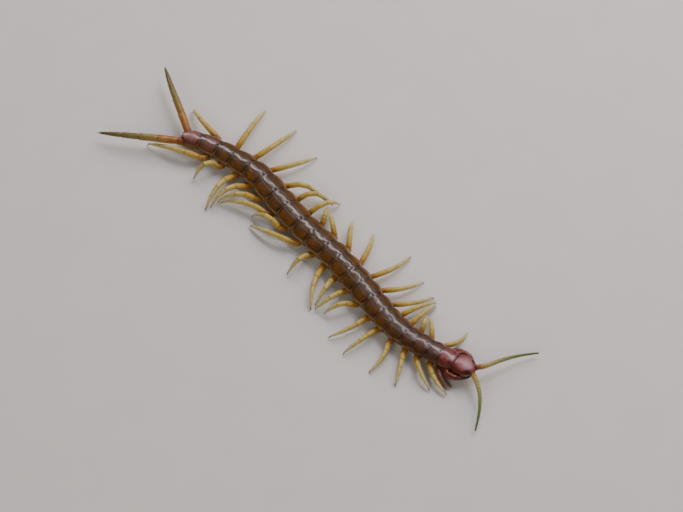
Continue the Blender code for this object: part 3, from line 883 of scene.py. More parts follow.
def trunk_skin():
    section = skin_ring()
    across, upright = section[None, :, 0], section[None, :, 1]
    distance = np.concatenate([[0.15], np.arange(SKIN_STEP, TRUNK_LENGTH - SKIN_STEP, SKIN_STEP)])[:, None]
    boundaries = np.array([segment_start(n) for n in range(1, SEGMENTS + 1)] + [TRUNK_LENGTH])
    pinch = bell(np.abs(distance - boundaries[None, :]).min(axis=1), 0.0, PINCH_REACH)[:, None]
    tail = 0.35 + 0.65 * np.sqrt(np.clip(distance / 2.4, 0.0, 1.0))
    flank = smooth(np.abs(across), 0.6, 0.85) * smooth(-upright, -0.25, 0.1)
    folds = np.sin(upright * 17 + np.sin(distance * 1.3) * 0.8) * FOLD_DEPTH
    folds = folds + FOLD_DEPTH * np.sin(distance * 4.2 + upright * 5)
    push = flank * (folds + PINCH_DEPTH * (1 - pinch)) - PINCH_DEPTH * pinch
    y = across * width_at(distance) / 2 * tail + np.sign(across) * push
    z = upright * tall_at(distance) * (0.6 + 0.4 * tail)
    points, faces = tube_mesh(beside(distance, y, AXIS_HEIGHT + z))
    # Painted shade in creases: the skin darkens where it pinches in between segments and in the troughs of
    # its folds. It is also a little darker all over the lower flank.
    edge = np.clip(pinch * 0.7 + flank * (0.2 - folds * 6), 0, 1)
    front = smooth(distance, 0.76 * TRUNK_LENGTH, 0.93 * TRUNK_LENGTH) * np.ones(len(section))
    return points, faces, {"edge": np.append(edge, [0, 0]), "front": np.append(front, [0, 1])}


points, faces, values = trunk_skin()
add_piece("trunk_skin", points, faces, SKIN, values, slot="back_plates", sharp=180,
          stands_for=[n for n in NODES if n.startswith("trunk")])
print("skin:", len(points), "points")

# %% [markdown]
# ## Small plates on the flank
# The soft skin carries little hard shields round each hip, which give the leg muscles something to pull on.
# Each is a low oval lens that lies on the skin. Carving them out of the skin itself would need a much finer
# mesh there, and separate lenses keep their own finish.

# %% Several shapes in one piece
class Pile:
    """Gathers several closed shapes into one piece, with a value for each point."""

    def __init__(self, *keys):
        self.points, self.faces, self.count = [], [], 0
        self.values = {key: [] for key in keys}

    def add(self, points, faces, **values):
        points = np.asarray(points, float).reshape(-1, 3)
        self.faces += [tuple(int(i) + self.count for i in f) for f in faces]
        self.points.append(points)
        for key, store in self.values.items():
            store.append(np.broadcast_to(np.asarray(values.get(key, 0.0), float), (len(points),)))
        self.count += len(points)

    def tube(self, centres, radii, normal, around=16, squash=1.0, **values):
        points, faces = tube_mesh(tube_points(centres, radii, normal, around, squash))
        for key, value in values.items():
            value = np.broadcast_to(np.asarray(value, float), (len(centres),))
            values[key] = np.concatenate([np.repeat(value, around), value[:1], value[-1:]])
        self.add(points, faces, **values)

    def turned(self, start, way, profile, normal, around, scale=1.0, **values):
        """A shape turned about the way that leaves start. The profile has places along it and radii."""
        centres = [start + way * x for x, _ in profile]
        self.tube(centres, [scale * r for _, r in profile], normal, around, **values)

    def thorn(self, base, tip, radii, normal, around, **values):
        self.tube([base, (base + tip) / 2, tip], radii, normal, around, **values)

    def piece(self, name, material, **kw):
        values = {key: np.concatenate(store) for key, store in self.values.items()}
        return add_piece(name, np.vstack(self.points), self.faces, material, values, **kw)


# %% One flank plate
LENS_RINGS, LENS_SPOKES = 8, 20
LENS_DEPTH = 0.25


def boxy(angle, across, tall):
    """Cosine and sine of an angle with softened powers, which turn a circle into a rounded box."""
    c, s = np.cos(angle), np.sin(angle)
    return np.sign(c) * np.abs(c) ** across, np.sign(s) * np.abs(s) ** tall


def skin_side(height):
    """How far out the flank lies at a height over the axis, both as shares of half the trunk's size."""
    low = SKIN_HALF.points[np.argsort(SKIN_HALF.points[:, 1])]
    return np.interp(height, low[:, 1], low[:, 0])


def flank_lens(pile, along, height, long, tall, sign, tilt):
    ring, spoke = np.meshgrid(np.linspace(0.0, 1.0, LENS_RINGS), full_turn(LENS_SPOKES), indexing="ij")
    x, z = boxy(spoke, 0.75, 0.75)
    x, z = ring * x * long, ring * z * tall
    x, z = x * math.cos(tilt) - z * math.sin(tilt), x * math.sin(tilt) + z * math.cos(tilt)
    out = skin_side((height - AXIS_HEIGHT + z) / tall_at(along)) * width_at(along + x) / 2
    dome = 0.10 * (1 - ring**5) + 0.02
    sheets = [beside(along + x, sign * (out + lift), height + z) for lift in (dome, 0 * dome - LENS_DEPTH)]
    points = np.vstack([sheet.reshape(-1, 3) for sheet in sheets])
    size = LENS_RINGS * LENS_SPOKES
    outside = grid_faces(LENS_RINGS, LENS_SPOKES, around=True, flip=sign < 0)
    inside = grid_faces(LENS_RINGS, LENS_SPOKES, around=True, first=size, flip=sign > 0)
    rim = [*range(size - LENS_SPOKES, size), size - LENS_SPOKES]
    joined = [(j, k, k + size, j + size)[::sign] for j, k in zip(rim, rim[1:])]
    pile.add(points, [*outside, *inside, *joined], edge=np.tile((smooth(ring, 0.6, 1.0) * 0.9).ravel(), 2))


# %% Lay the flank plates
# Place along the segment, height, length as a share of the segment's, half height and tilt
LENSES = ((-0.30, 3.95, 0.15, 0.46, 0.2), (0.34, 3.80, 0.10, 0.56, -0.25), (-0.35, 2.85, 0.11, 0.36, 0.35),
          (0.36, 2.65, 0.08, 0.42, -0.2))
flank_plates = Pile("edge")
for number in range(1, SEGMENTS):
    middle, long = segment_middle(number), segment_length(number)
    for sign in (1, -1):
        for place, height, share, tall, tilt in LENSES:
            flank_lens(flank_plates, middle + place * long, height, share * long, tall, sign, tilt)
flank_plates.piece("flank_plates", BELLY, slot="back_plates")
print("flank plates:", 2 * len(LENSES) * (SEGMENTS - 1))

# %% [markdown]
# ## Breathing holes
# Some segments have a slit-shaped opening on each flank, just under the back plate, where air goes in.
# Each is a raised oval ring round a dark pit, whose near-black colour is painted shade in the opening.
# A torus could be scaled to an oval, but a tube along an oval line keeps the same wall all round.

# %% Set the breathing holes
BREATHING = (3, 5, 8, 10, 12, 14, 16, 18, 20)
HOLE_SIDE = 0.905  # how far out the skin lies there, as a share of half the trunk's width
HOLE_LENGTH, HOLE_HEIGHT, HOLE_WALL = 0.62, 0.24, 0.085
holes = Pile("along", "joint")
turn = np.linspace(0.0, 2 * math.pi, 25)
across = np.linspace(-1, 1, 9)
for number in BREATHING:
    for sign in (1, -1):
        middle = segment_middle(number) + 0.16 * segment_length(number)
        out, height = HOLE_SIDE * width_at(middle) / 2, AXIS_HEIGHT - 0.10 * tall_at(middle)
        outward = unit(beside(middle, sign, 0.0) - beside(middle, 0.0, 0.0))
        ring = beside(middle + HOLE_LENGTH * np.cos(turn), sign * (out + 0.10),
                      height + HOLE_HEIGHT * np.sin(turn))
        holes.tube(ring, np.full(25, HOLE_WALL), outward, 8, along=0.70, joint=0.3)
        # The pit's near-black colour is painted shade inside the opening.
        pit = beside(middle + 0.6 * across, sign * (out + 0.05), height)
        holes.tube(pit, 0.2 * np.sqrt(1.02 - across**2), UP, 8, along=1.0, joint=0.0)
holes.piece("breathing_holes", VENOM, slot="back_plates")
print("breathing holes:", 2 * len(BREATHING))

# %% [markdown]
# ## Walking legs
# A leg is a row of hollow joints: a hip ring, then a thigh, three shorter lengths and a slim foot with
# a claw. Each length swells a little and ends in a rounded lip, and the next one starts narrower inside it.
# A curve with a bevel gives a smooth tube but no lips, so the rings are placed length by length.

# %% The outline of one length of a leg
ARTICLE = ((0.0, 0.83), (0.02, 0.86), (0.06, 0.92), (0.13, 0.96), (0.3, 1.0), (0.5, 1.01), (0.7, 1.0),
           (0.86, 1.0), (0.93, 1.03), (0.97, 1.045), (0.992, 1.01), (1.0, 0.93))


def lengths_of(marks):
    """Shares along a limb, and its thickness and dark joints there.

    A mark has the share of a joint, the thickness of the length that starts there and of the one that ends.
    """
    where, thick, joint = [], [], []
    for (start, wide, _), (end, _, narrow) in zip(marks, marks[1:]):
        for x, factor in ARTICLE:
            where.append(start + (end - start) * x)
            thick.append(factor * (wide + (narrow - wide) * x))
            joint.append(max(0.0, 1 - x / 0.06))
    return np.array(where), np.array(thick), np.array(joint)


def stiffened(line, joints, distance, stiff):
    """Points along a line that lean towards straight lengths between its joints."""
    i = np.clip(np.searchsorted(joints, distance, side="right") - 1, 0, len(joints) - 2)
    t = ((distance - joints[i]) / (joints[i + 1] - joints[i]))[:, None]
    straight = line.at(joints[i]) * (1 - t) + line.at(joints[i + 1]) * t
    return line.at(distance) * (1 - stiff) + straight * stiff


def jointed_tube(pile, line, marks, start, length, stiff, thick, **ring):
    """A limb of several lengths. start and length say where it lies on its line."""
    where, factor, joint = lengths_of(marks)
    joints = start + np.array([mark[0] for mark in marks]) * length
    centres = stiffened(line, joints, start + where * length, stiff)
    pile.tube(centres, factor * thick, along=where, joint=joint, **ring)


print("one length of a leg has", len(ARTICLE), "rings")

# %% The shell of a walking leg
LEG_MARKS = ((0.0, 1.12, 0), (0.055, 1.0, 1.1), (0.10, 1.0, 0.98), (0.32, 0.95, 0.97), (0.535, 0.84, 0.82),
             (0.745, 0.64, 0.66), (0.868, 0.48, 0.52), (0.96, 0.3, 0.31))
LEG_START = 0.55  # where the first length starts on the leg's line
LEG_STIFFNESS = 0.75  # 0 follows the bow of the line, 1 has straight lengths
HIP_RING = ((-2.24, 0.14), (-2.17, 0.40), (-2.02, 0.66), (-1.8, 0.89), (-1.5, 1.08), (-1.1, 1.21),
            (-0.65, 1.26), (-0.3, 1.2), (-0.08, 1.12), (0.0, 1.08), (0.06, 0.95))
HIP_SHADE = np.interp([x for x, _ in HIP_RING], [-1.7, -1.0, -0.4, -0.1, 0.06], [1.0, 0.75, 0.3, 0.2, 1.0])
SPURS_AT = (0.745, 0.875)


def leg_shell(number, side, line, face, direction, normal):
    thick, length = leg_radius(number), line.length - LEG_START
    pile = Pile("along", "joint")
    jointed_tube(pile, line, LEG_MARKS, LEG_START, length, LEG_STIFFNESS, thick,
                 normal=normal, around=18, squash=0.94)
    pile.turned(face, direction, HIP_RING, normal, 18, thick, along=0.0, joint=HIP_SHADE)
    for share in SPURS_AT:
        joint, way = line.at(LEG_START + share * length), line.heading(LEG_START + share * length)
        base, tip = joint - way * 0.15 - UP * 0.36 * thick, joint + way * 0.42 - UP * 0.62 * thick
        pile.thorn(base, tip, [0.15, 0.10, 0.02], normal, 8, along=0.25, joint=0.6)
    name = f"leg_{number:02d}_{side}"
    material = FIRST_LEG_SHELL if number == 1 else LEG
    pile.piece(f"{name}_shell", material, stands_for=[name], slot="walking_legs")


# %% The claw of a foot
TOE_HEIGHT = 0.03
CLAW_START = 0.945  # as a share of the leg's line


def foot_claw(number, side, line, along, foot, normal):
    """A curved claw that reaches the floor, with a small spur on each side."""
    t = np.linspace(0.0, 1.0, 12)[:, None]
    toe = np.array([foot[0], foot[1], TOE_HEIGHT])
    bend = foot + along * 0.22 - UP * 0.1
    curve = (1 - t) ** 2 * line.at(CLAW_START * line.length) + 2 * t * (1 - t) * bend + t**2 * toe
    claw = Pile("along")
    claw.tube(curve, 0.27 * leg_radius(number) * (1 - t[:, 0]) ** 0.7 + 0.03, normal, 12, along=t[:, 0])
    for sign in (1, -1):
        root = curve[2] + normal * sign * 0.12
        middle = root + (curve[6] - curve[2]) * 0.5 + normal * sign * 0.1
        end = root + (curve[8] - curve[2]) * 0.75 + normal * sign * 0.12
        claw.tube([root, middle, end], [0.085, 0.055, 0.012], normal, 6, along=[0.2, 0.5, 1.0])
    claw.piece(f"leg_{number:02d}_{side}_claw", CLAW, slot="walking_legs")


# %% Make the forty walking legs
for side in SIGN:
    for number in range(1, SEGMENTS):
        line, face, direction, along, foot = leg_plan(number, side)
        normal = unit(np.cross(UP, along))
        leg_shell(number, side, line, face, direction, normal)
        foot_claw(number, side, line, along, foot, normal)
print("walking legs:", 2 * (SEGMENTS - 1), "the last one", round(line.length, 1), "mm along its line")

# %% [markdown]
# ## The last pair of legs
# The last legs don't walk. They trail behind, longer and much thicker, and grasp or feel like a rear pair
# of feelers. Their thighs carry rows of small spines underneath.
# They reuse the outline of a leg's lengths, with their own marks and a route given in the tail's frame.

# %% The route of the last legs
LAST_LEG = {
    "left": ((0.6, 3.7, 4.4), (-1.6, 7.2, 5.0), (-5.5, 13.0, 5.8), (-9.6, 19.2, 6.2), (-14.8, 28.0, 6.0)),
    "right": ((-1.3, -1.8, 4.3), (-7.2, -3.0, 5.0), (-13.7, -4.0, 5.2), (-21.5, -4.7, 4.8),
              (-28.6, -5.0, 4.0)),
}
LAST_LEG_RADIUS = 1.35
LAST_START = -0.25
LAST_STIFFNESS = 0.6
LAST_MARKS = ((0.0, 0.97, 0), (0.245, 0.98, 1.03), (0.475, 0.87, 0.93), (0.69, 0.70, 0.75),
              (0.855, 0.50, 0.55), (0.965, 0.28, 0.32))
LAST_SOCKET = ((-3.2, 0.7), (-2.4, 0.94), (-1.6, 1.04), (-0.9, 1.08), (-0.4, 1.06), (-0.12, 1.0),
               (-0.02, 0.86))
SOCKET_SHADE = (1, 0.9, 0.7, 0.45, 0.25, 0.4, 1.0)


def last_leg_line(side):
    heading = BODY.heading(1.0)
    left = np.array([-heading[1], heading[0], 0.0])
    return Line([BODY.at(0.0) + heading * x + left * y + UP * z for x, y, z in LAST_LEG[side]])


print("last legs:", [round(last_leg_line(side).length, 1) for side in SIGN], "mm long")


# %% Make the last legs
def thigh_spines(pile, side, line, normal):
    """Three rows of four spines under the thigh, each a little out of step with its neighbours."""
    rng = np.random.default_rng(7)
    for row, angle in enumerate((-0.5, 0.1, 0.6)):
        for step in range(4):
            distance = (0.055 + 0.06 * step + 0.01 * row + 0.004 * rng.random()) * line.length
            spot = line.at(distance)
            inward = -UP * math.cos(angle) - normal * SIGN[side] * math.sin(angle)
            base = spot + inward * 0.86 * LAST_LEG_RADIUS
            tip = spot + inward * 1.17 * LAST_LEG_RADIUS + line.heading(distance) * 0.3
            pile.thorn(base, tip, [0.16, 0.11, 0.02], normal, 8, along=0.1, joint=[0, 0.6, 1])


def last_leg(side):
    line = last_leg_line(side)
    start = line.at(0.0)
    normal = unit(np.cross(UP, line.at(line.length) - start))
    pile = Pile("along", "joint")
    jointed_tube(pile, line, LAST_MARKS, LAST_START, line.length, LAST_STIFFNESS, LAST_LEG_RADIUS,
                 normal=normal, around=24, squash=0.96)
    pile.turned(start, line.heading(0.3), LAST_SOCKET, normal, 24, LAST_LEG_RADIUS,
                along=0.0, joint=SOCKET_SHADE)
    thigh_spines(pile, side, line, normal)
    pile.piece(f"leg_21_{side}_shell", LAST_LEG_SHELL, stands_for=[f"leg_21_{side}"], slot="last_legs")
    claw = Pile("along")
    t = np.linspace(0.0, 1.0, 12)
    centre = line.at((0.955 + 0.045 * t) * line.length) - UP * (0.3 * t**2)[:, None]
    claw.tube(centre, 0.33 * (1 - t) ** 0.8 + 0.03, normal, 12, along=t)
    claw.piece(f"leg_21_{side}_claw", CLAW, slot="last_legs")
    return pile.count


print("points of the last legs:", [last_leg(side) for side in SIGN])

# %% [markdown]
# ## The tail's side lobes
# The last legs leave the body from two big lobes under the last back plate, with a flap between them.
# The lobes are pierced by many tiny pores. The pores could be bumps in a material, but then they would
# wander over the lobe's edge, so they are little dark domes set where they belong. Their dark colour is
# painted shade in the pores' openings.

# %% Shape the lobes and set their pores
LOBE = ((6.7, 1.7, 3.4, 0.3), (5.8, 1.85, 3.35, 0.78), (4.6, 1.95, 3.3, 1.0), (3.2, 1.95, 3.3, 1.08),
        (2.0, 1.85, 3.35, 1.08), (1.0, 1.7, 3.4, 1.0), (0.3, 1.6, 3.35, 0.78), (-0.2, 1.55, 3.2, 0.5),
        (-0.7, 1.5, 3.05, 0.28), (-1.0, 1.5, 2.98, 0.1))
LOBE_RADII = [radius for *_, radius in LOBE]
LOBE_SHARES = np.linspace(0.0, 1.0, len(LOBE))
PORES = 34
PORE_SECTOR = {1: (195, 330), -1: (210, 345)}  # degrees round the lobe, away from its top
lobes, pores = Pile("edge"), Pile("along", "joint")
outward = unit(beside(3.0, 1.0, 0.0) - beside(3.0, 0.0, 0.0))
rng = np.random.default_rng(3)
for sign in (1, -1):
    line = Line([beside(distance, sign * y, z) for distance, y, z, _ in LOBE])
    share = np.linspace(0.0, 1.0, 34)
    places = np.interp(share, LOBE_SHARES, line.knots)
    radius = np.interp(share, LOBE_SHARES, LOBE_RADII)
    lobes.tube(line.at(places), radius, UP, 24, 0.95, edge=smooth(share, 0.72, 0.95))
    for _ in range(PORES):
        at = rng.uniform(0.15, 0.62)
        turn = math.radians(rng.uniform(*PORE_SECTOR[sign]))
        out = outward * math.cos(turn) + UP * math.sin(turn)
        centre = line.at(np.interp(at, LOBE_SHARES, line.knots))
        spot = centre + out * np.interp(at, LOBE_SHARES, LOBE_RADII) * 0.95
        # Each pore's near-black colour is painted shade in its opening.
        dome = [spot, spot + out * 0.05, spot + out * 0.06]
        pores.tube(dome, [0.07, 0.06, 0.02], unit([1, 0.1, 0.2]), 8, along=0.9)
print("pores:", 2 * PORES)

# %% Shape the flaps and make the pieces
FLAP = ((2.6, 0.55, 3.7), (1.2, 0.6, 3.7), (0.2, 0.6, 3.6), (-0.35, 0.5, 3.5))
flaps = Pile("edge")
share = np.linspace(0.0, 1.0, 16)
for sign in (1, -1):
    line = Line([beside(distance, sign * y, z) for distance, y, z in FLAP])
    radius = 0.82 * np.sqrt(1.01 - share**4)
    flaps.tube(line.at(share * line.length), radius, UP, 20, 0.7, edge=smooth(share, 0.85, 1.0))
flaps.piece("tail_flaps", BELLY, slot="back_plates")
lobes.piece("tail_lobes", BELLY, slot="back_plates")
pores.piece("tail_pores", VENOM, slot="back_plates")
print("tail points:", flaps.count + lobes.count + pores.count)

# %% [markdown]
# ## The head
# One domed plate covers the head, rounded in front and a little narrower at the neck, with a thin rim.
# Under it the face slopes back to the mouth. A subdivided sphere would need much pulling about, so the
# dome is again a grid: its outline, crown and rim heights are read from a short table along the head.

# %% Places on the head
HEAD_LENGTH = 6.8


def head_point(forwards, sideways, height):
    """Points counted from the rear edge of the head."""
    return beside(TRUNK_LENGTH + GAP / 2 + np.asarray(forwards, float), sideways, height)


def head_points(table, sign=1):
    """A row of places at the head. Sign 1 puts them on the left, -1 on the right."""
    return [head_point(row[0], sign * row[1], row[2]) for row in table]


print("the head goes from", np.round(head_point([0.0, HEAD_LENGTH], 0.0, 0.0)[:, 0], 1), "mm")

# %% The head's outline
# Share along the head, half width, height of the crown, of the rim and of the underside
HEAD_TABLE = (
    (0.0, 3.1, 6.1, 4.9, 4.1), (0.14, 3.55, 6.5, 4.95, 4.05), (0.36, 3.75, 6.65, 5.0, 4.0),
    (0.6, 3.5, 6.5, 4.95, 4.0), (0.8, 2.8, 6.15, 4.85, 4.0), (0.93, 1.9, 5.75, 4.8, 4.1),
    (1.0, 1.1, 5.3, 4.75, 4.3),
)
HEAD_SEAM, HEAD_SEAM_WIDTH = 0.34, 0.014


def table_lines(table, length):
    """A smooth line for each column of a table whose first column is a share of a length."""
    return [Line([(row[0] * length, row[k]) for row in table]).points for k in range(1, len(table[0]))]


def table_values(lines, distance):
    return [np.interp(distance, line[:, 0], line[:, 1]) for line in lines]


HEAD_LINES = table_lines(HEAD_TABLE, HEAD_LENGTH)


def head_values(share):
    """Half width, crown, rim and underside at shares of the head's length."""
    return table_values(HEAD_LINES, np.asarray(share) * HEAD_LENGTH)


def dome_bulge(v):
    """How much of the crown's height the dome has between the middle (0) and the side (1)."""
    return (1 - np.abs(0.99 * v) ** 3) ** 0.6


print("half the head is", round(float(head_values(0.36)[0]), 2), "mm wide at its widest")


# %% The head's dome
def head_dome():
    share = 1 - (1 - np.linspace(0.0, 1.0, 44)) ** 1.25
    columns = with_grooves(spread(60, 0.6), HEAD_SEAM, HEAD_SEAM_WIDTH)
    u, v = np.meshgrid(share, columns, indexing="ij")
    side = np.abs(v)
    half, crown, rim_height, _ = head_values(u)
    rim = bell(side, 0.985, 0.02)
    seam = bell(side, HEAD_SEAM, HEAD_SEAM_WIDTH) * (1 - smooth(u, 0.12, 0.3))
    middle = bell(v, 0.0, 0.02) * smooth(u, 0.72, 0.8) * (1 - smooth(u, 0.93, 0.98))
    z = rim_height + (crown - rim_height) * dome_bulge(v)
    z = z + 0.05 * rim - 0.05 * bell(side, 0.93, 0.02) - 0.05 * seam - 0.05 * middle
    forwards = u * HEAD_LENGTH * (1 - 0.06 * side**3 * smooth(u, 0.6, 1.0)) - 0.25 * (1 - u) ** 6
    top = head_point(forwards, v * half, z)
    under = head_point(forwards * 0.985 + 0.04, v * half * 0.97, z - 0.12 - 0.1 * dome_bulge(v))
    edge = 0.8 * smooth(side, 0.86, 0.95) * (1 - rim) + 0.5 * seam + 0.4 * smooth(u, 0.9, 1.0)
    # flank grows from the dome's centre outwards, so the pale lilac middle colour paints a highlight on the
    # crown.
    flank = smooth(np.hypot(side, 1.5 * (u - 0.5)), 0.45, 0.95)
    values = {"edge": np.clip(edge, 0, 1), "flank": flank, "rim": np.clip(rim * 0.8, 0, 1),
              "station": np.ones(u.shape)}
    return lay_plate("head_dome", top, under, HEAD, values, stands_for=["head"], slot="head_plate")


print("head dome:", len(head_dome().data.vertices), "points")


# %% The face under the dome
def head_capsule(around=32):
    """Rings from the neck to the mouth that close up in front."""
    angle = full_turn(around)
    across, upright = boxy(angle, 0.8, 0.7)
    rings = []
    for u in [0.0, *np.linspace(0.02, 0.985, 30), 1.0, 1.015, 1.025]:
        close = np.interp(u, [0.985, 1.0, 1.015, 1.025], [1.0, 0.93, 0.74, 0.4])
        half, crown, rim, floor = head_values(u)
        top = rim + 0.15 + smooth(u, 0.78, 1.0) * (crown - rim - 0.25)
        y = half * 0.95 * across * (1 - 0.22 * smooth(-np.sin(angle), 0.0, 1.0))
        z = (top + floor) / 2 + (top - floor) / 2 * upright * close
        rings.append(head_point(u * HEAD_LENGTH, y * close, z))
    return tube_mesh(np.array(rings))


points, faces = head_capsule()
values = {"along": np.full(len(points), 0.2), "joint": np.zeros(len(points))}
add_piece("head_underside", points, faces, VENOM, values, slot="head_plate")
print("face:", len(points), "points")

# %% Mouth palps
PALP = ((3.4, 1.9, 3.95), (4.6, 1.85, 3.85), (5.7, 1.5, 3.8), (6.3, 0.95, 3.85), (6.5, 0.45, 3.95))
PALP_MARKS = ((0.0, 1.0, 0), (0.4, 0.92, 0.95), (0.72, 0.78, 0.82), (0.99, 0.5, 0.5))
MOUTH_LOBE = ((5.6, 0.42, 4.1), (6.1, 0.42, 4.1), (6.45, 0.4, 4.12), (6.68, 0.36, 4.16), (6.78, 0.33, 4.2))
palps = Pile("along", "joint")
where, factor, joint = lengths_of(PALP_MARKS)
for sign in (1, -1):
    line = Line(head_points(PALP, sign))
    palps.tube(line.at(where * line.length), 0.42 * factor, UP, 16, squash=0.9,
               along=0.1 + 0.3 * where, joint=joint)
    palps.tube(head_points(MOUTH_LOBE, sign), [0.40, 0.42, 0.38, 0.27, 0.10], UP, 16, squash=0.85,
               along=0.05, joint=[0.8, 0.3, 0, 0, 0])
palps.piece("mouth_palps", VENOM, slot="head_plate")
print("palps:", round(line.length, 1), "mm long")

# %% [markdown]
# ## Eyes
# Four simple eyes sit in a small diamond on each side, close behind the feeler. Each is a glossy black bead
# set in a ring of shell. Spheres sunk in the dome would have no rings, so each eye is a turned profile.

# %% Set the eyes
# Share along the head, share out to its side
EYES = ((0.80, 0.72), (0.735, 0.83), (0.725, 0.66), (0.665, 0.77))
EYE_PROFILE = ((-0.35, 0.33), (-0.15, 0.37), (-0.04, 0.38), (0.01, 0.34), (0.015, 0.29), (0.0, 0.275),
               (0.05, 0.24), (0.085, 0.17), (0.10, 0.09), (0.105, 0.02))
EYE_RING = (1, 1, 1, 1, 0.9, 0.3, 0, 0, 0, 0)
EYE_SIZE = 0.82


def on_dome(u, v):
    """A point of the dome and the way out of it there."""
    def point(u, v):
        half, crown, rim, _ = head_values(u)
        return head_point(u * HEAD_LENGTH, v * half, rim + (crown - rim) * dome_bulge(v))
    spot = point(u, v)
    return spot, unit(np.cross(point(u + 0.01, v) - spot, point(u, v + 0.01) - spot))


eyes = Pile("edge")
for sign in (1, -1):
    for share, side in EYES:
        spot, out = on_dome(share, sign * side)
        eyes.turned(spot, out, EYE_PROFILE, UP, 18, EYE_SIZE, edge=EYE_RING)
eyes.piece("eyes", EYE, slot="head_plate")
print("eyes:", 2 * len(EYES))

# %% [markdown]
# ## Feelers
# A feeler is a string of beads that get thinner towards the tip. The first few are smooth and orange,
# the rest dull and green, with a coat of fine hairs. Every bead starts narrow inside the one before.
# A particle system could grow the hairs, but it isn't a mesh, so each hair is a thin three-sided spike.

# %% The beads of a feeler
FEELERS = {
    "left": ((7.3, 1.9, 5.1), (8.6, 2.9, 5.3), (10.2, 5.2, 5.2), (12.4, 8.8, 4.6), (14.8, 12.4, 3.7),
             (17.4, 15.8, 2.6), (20.0, 18.8, 1.6)),
    "right": ((7.3, -1.9, 5.1), (8.5, -2.8, 5.3), (10.6, -4.8, 5.1), (12.8, -7.6, 4.5), (14.6, -10.8, 3.6),
              (16.0, -14.4, 2.6), (17.2, -18.2, 1.6)),
}
BEADS = 18
BEAD = ((0.0, 0.80), (0.05, 0.83), (0.14, 0.92), (0.35, 0.97), (0.65, 1.0), (0.88, 1.02), (0.96, 0.98),
        (0.995, 0.88))
BEADS_END = 0.990
ROOT_RADIUS, TIP_RADIUS = 0.95, 0.27


def feeler_radius(share):
    return ROOT_RADIUS + (TIP_RADIUS - ROOT_RADIUS) * share**0.9


def feeler_beads():
    """Shares along the feeler, radii and dark joints of its beads, and of two small rings at the tip."""
    share = np.array([(bead + x) / BEADS for bead in range(BEADS) for x, _ in BEAD])
    radius = feeler_radius(share) * np.tile([factor for _, factor in BEAD], BEADS)
    joint = np.tile([max(0.0, 1 - x / 0.12) for x, _ in BEAD], BEADS)
    where = np.append(share * BEADS_END, [BEADS_END, 0.9925])
    return where, np.append(radius, [0.2, 0.06]), np.append(joint, [0.0, 0.0])


print("rings of a feeler:", len(feeler_beads()[0]))


# %% The hairs of a feeler
HAIRS = 620
HAIRY_FROM = 0.24  # the first beads are bare
HAIR_WIDTH = 0.018
THIRDS = (0.0, 2.094, 4.189)  # of a full turn, for a hair with three sides


def bristles(pile, line, normal, count, first_share):
    """Short three-sided hairs that lean towards the tip, from a share of the feeler onwards."""
    rng = np.random.default_rng(11)
    share = first_share + (0.965 - first_share) * rng.random(count)
    turn = rng.random(count) * 2 * math.pi
    tangent = line.heading(share * line.length)
    side = unit(normal - (tangent @ normal)[:, None] * tangent)
    out = np.cos(turn)[:, None] * side + np.sin(turn)[:, None] * np.cross(tangent, side)
    root = line.at(share * line.length) + out * (feeler_radius(share) * 0.96)[:, None]
    across = np.cross(tangent, out)
    tip = root + (out * 0.6 + tangent) * (0.16 + 0.1 * rng.random(count))[:, None]
    corners = [root + HAIR_WIDTH * (math.cos(k) * tangent + math.sin(k) * across) for k in THIRDS]
    first = np.arange(count)[:, None] * 4
    faces = np.concatenate([first + [0, 1, 3], first + [1, 2, 3], first + [2, 0, 3], first + [0, 2, 1]])
    pile.add(np.stack([*corners, tip], 1), faces, along=np.repeat(0.2 + 0.3 * share, 4))


# %% String the feelers
FEELER_BASE = ((-1.7, 0.60), (-1.0, 0.74), (-0.5, 0.84), (-0.15, 0.88), (0.02, 0.82), (0.3, 0.74))
SLEEVE = ((-2.1, 0.62), (-1.7, 0.88), (-1.3, 1.00), (-0.95, 1.05), (-0.74, 1.03), (-0.66, 0.97),
          (-0.68, 0.88), (-0.8, 0.80))


def feeler(side):
    line = Line(head_points(FEELERS[side]))
    start, direction = line.at(0.0), line.heading(0.2)
    normal = unit(np.cross(UP, line.at(line.length) - start))
    where, radius, joint = feeler_beads()
    beads, collar, hairs = (Pile("along", "joint") for _ in range(3))
    beads.tube(line.at(where * line.length), radius, normal, 16, along=where, joint=joint)
    beads.turned(start, direction, FEELER_BASE, normal, 16, along=0.0, joint=[1, 1, 0.7, 0.3, 0.7, 1])
    beads.piece(f"feeler_{side}", FEELER, stands_for=[f"antenna_{side}"], slot="feelers")
    collar.turned(start, direction, SLEEVE, normal, 24, along=0.3, joint=[0, 0, 0, 0, 0, 0.2, 0.8, 1])
    collar.piece(f"feeler_socket_{side}", VENOM, slot="head_plate")
    bristles(hairs, line, normal, HAIRS, HAIRY_FROM)
    hairs.piece(f"feeler_hairs_{side}", FEELER, slot="feelers", sharp=180)
    return line.length


print("feelers:", [round(feeler(side), 1) for side in SIGN], "mm long")

# %% [markdown]
# ## Venom claws
# The first legs have become a pair of fangs that curve round under the head and meet in front of the mouth.
# Each has a stout base with a blunt tooth, two short rings and a long fang that darkens to its point.
# Like the legs they are rings along a line, with the radius from the solid's own table.

# %% The outline of a venom claw
VENOM_CLAW = (
    (-1.7, 3.9, 3.5, 0.8), (-0.8, 4.6, 3.6, 1.02), (0.6, 4.9, 3.6, 1.1), (2.2, 4.7, 3.6, 0.98),
    (3.7, 4.0, 3.5, 0.78), (5.0, 3.0, 3.4, 0.54), (5.9, 1.9, 3.3, 0.32), (6.3, 1.0, 3.2, 0.15),
)
VENOM_MARKS = ((-0.03, 1.0, 0), (0.50, 0.94, 1.03), (0.585, 0.90, 0.98), (0.66, 0.9, 0.95))
SHOULDER = ((-2.3, 2.0, 3.2), (-2.1, 2.8, 3.3), (-1.8, 3.4, 3.4), (-1.3, 3.95, 3.5), (-0.8, 4.35, 3.55),
            (-0.45, 4.55, 3.58))


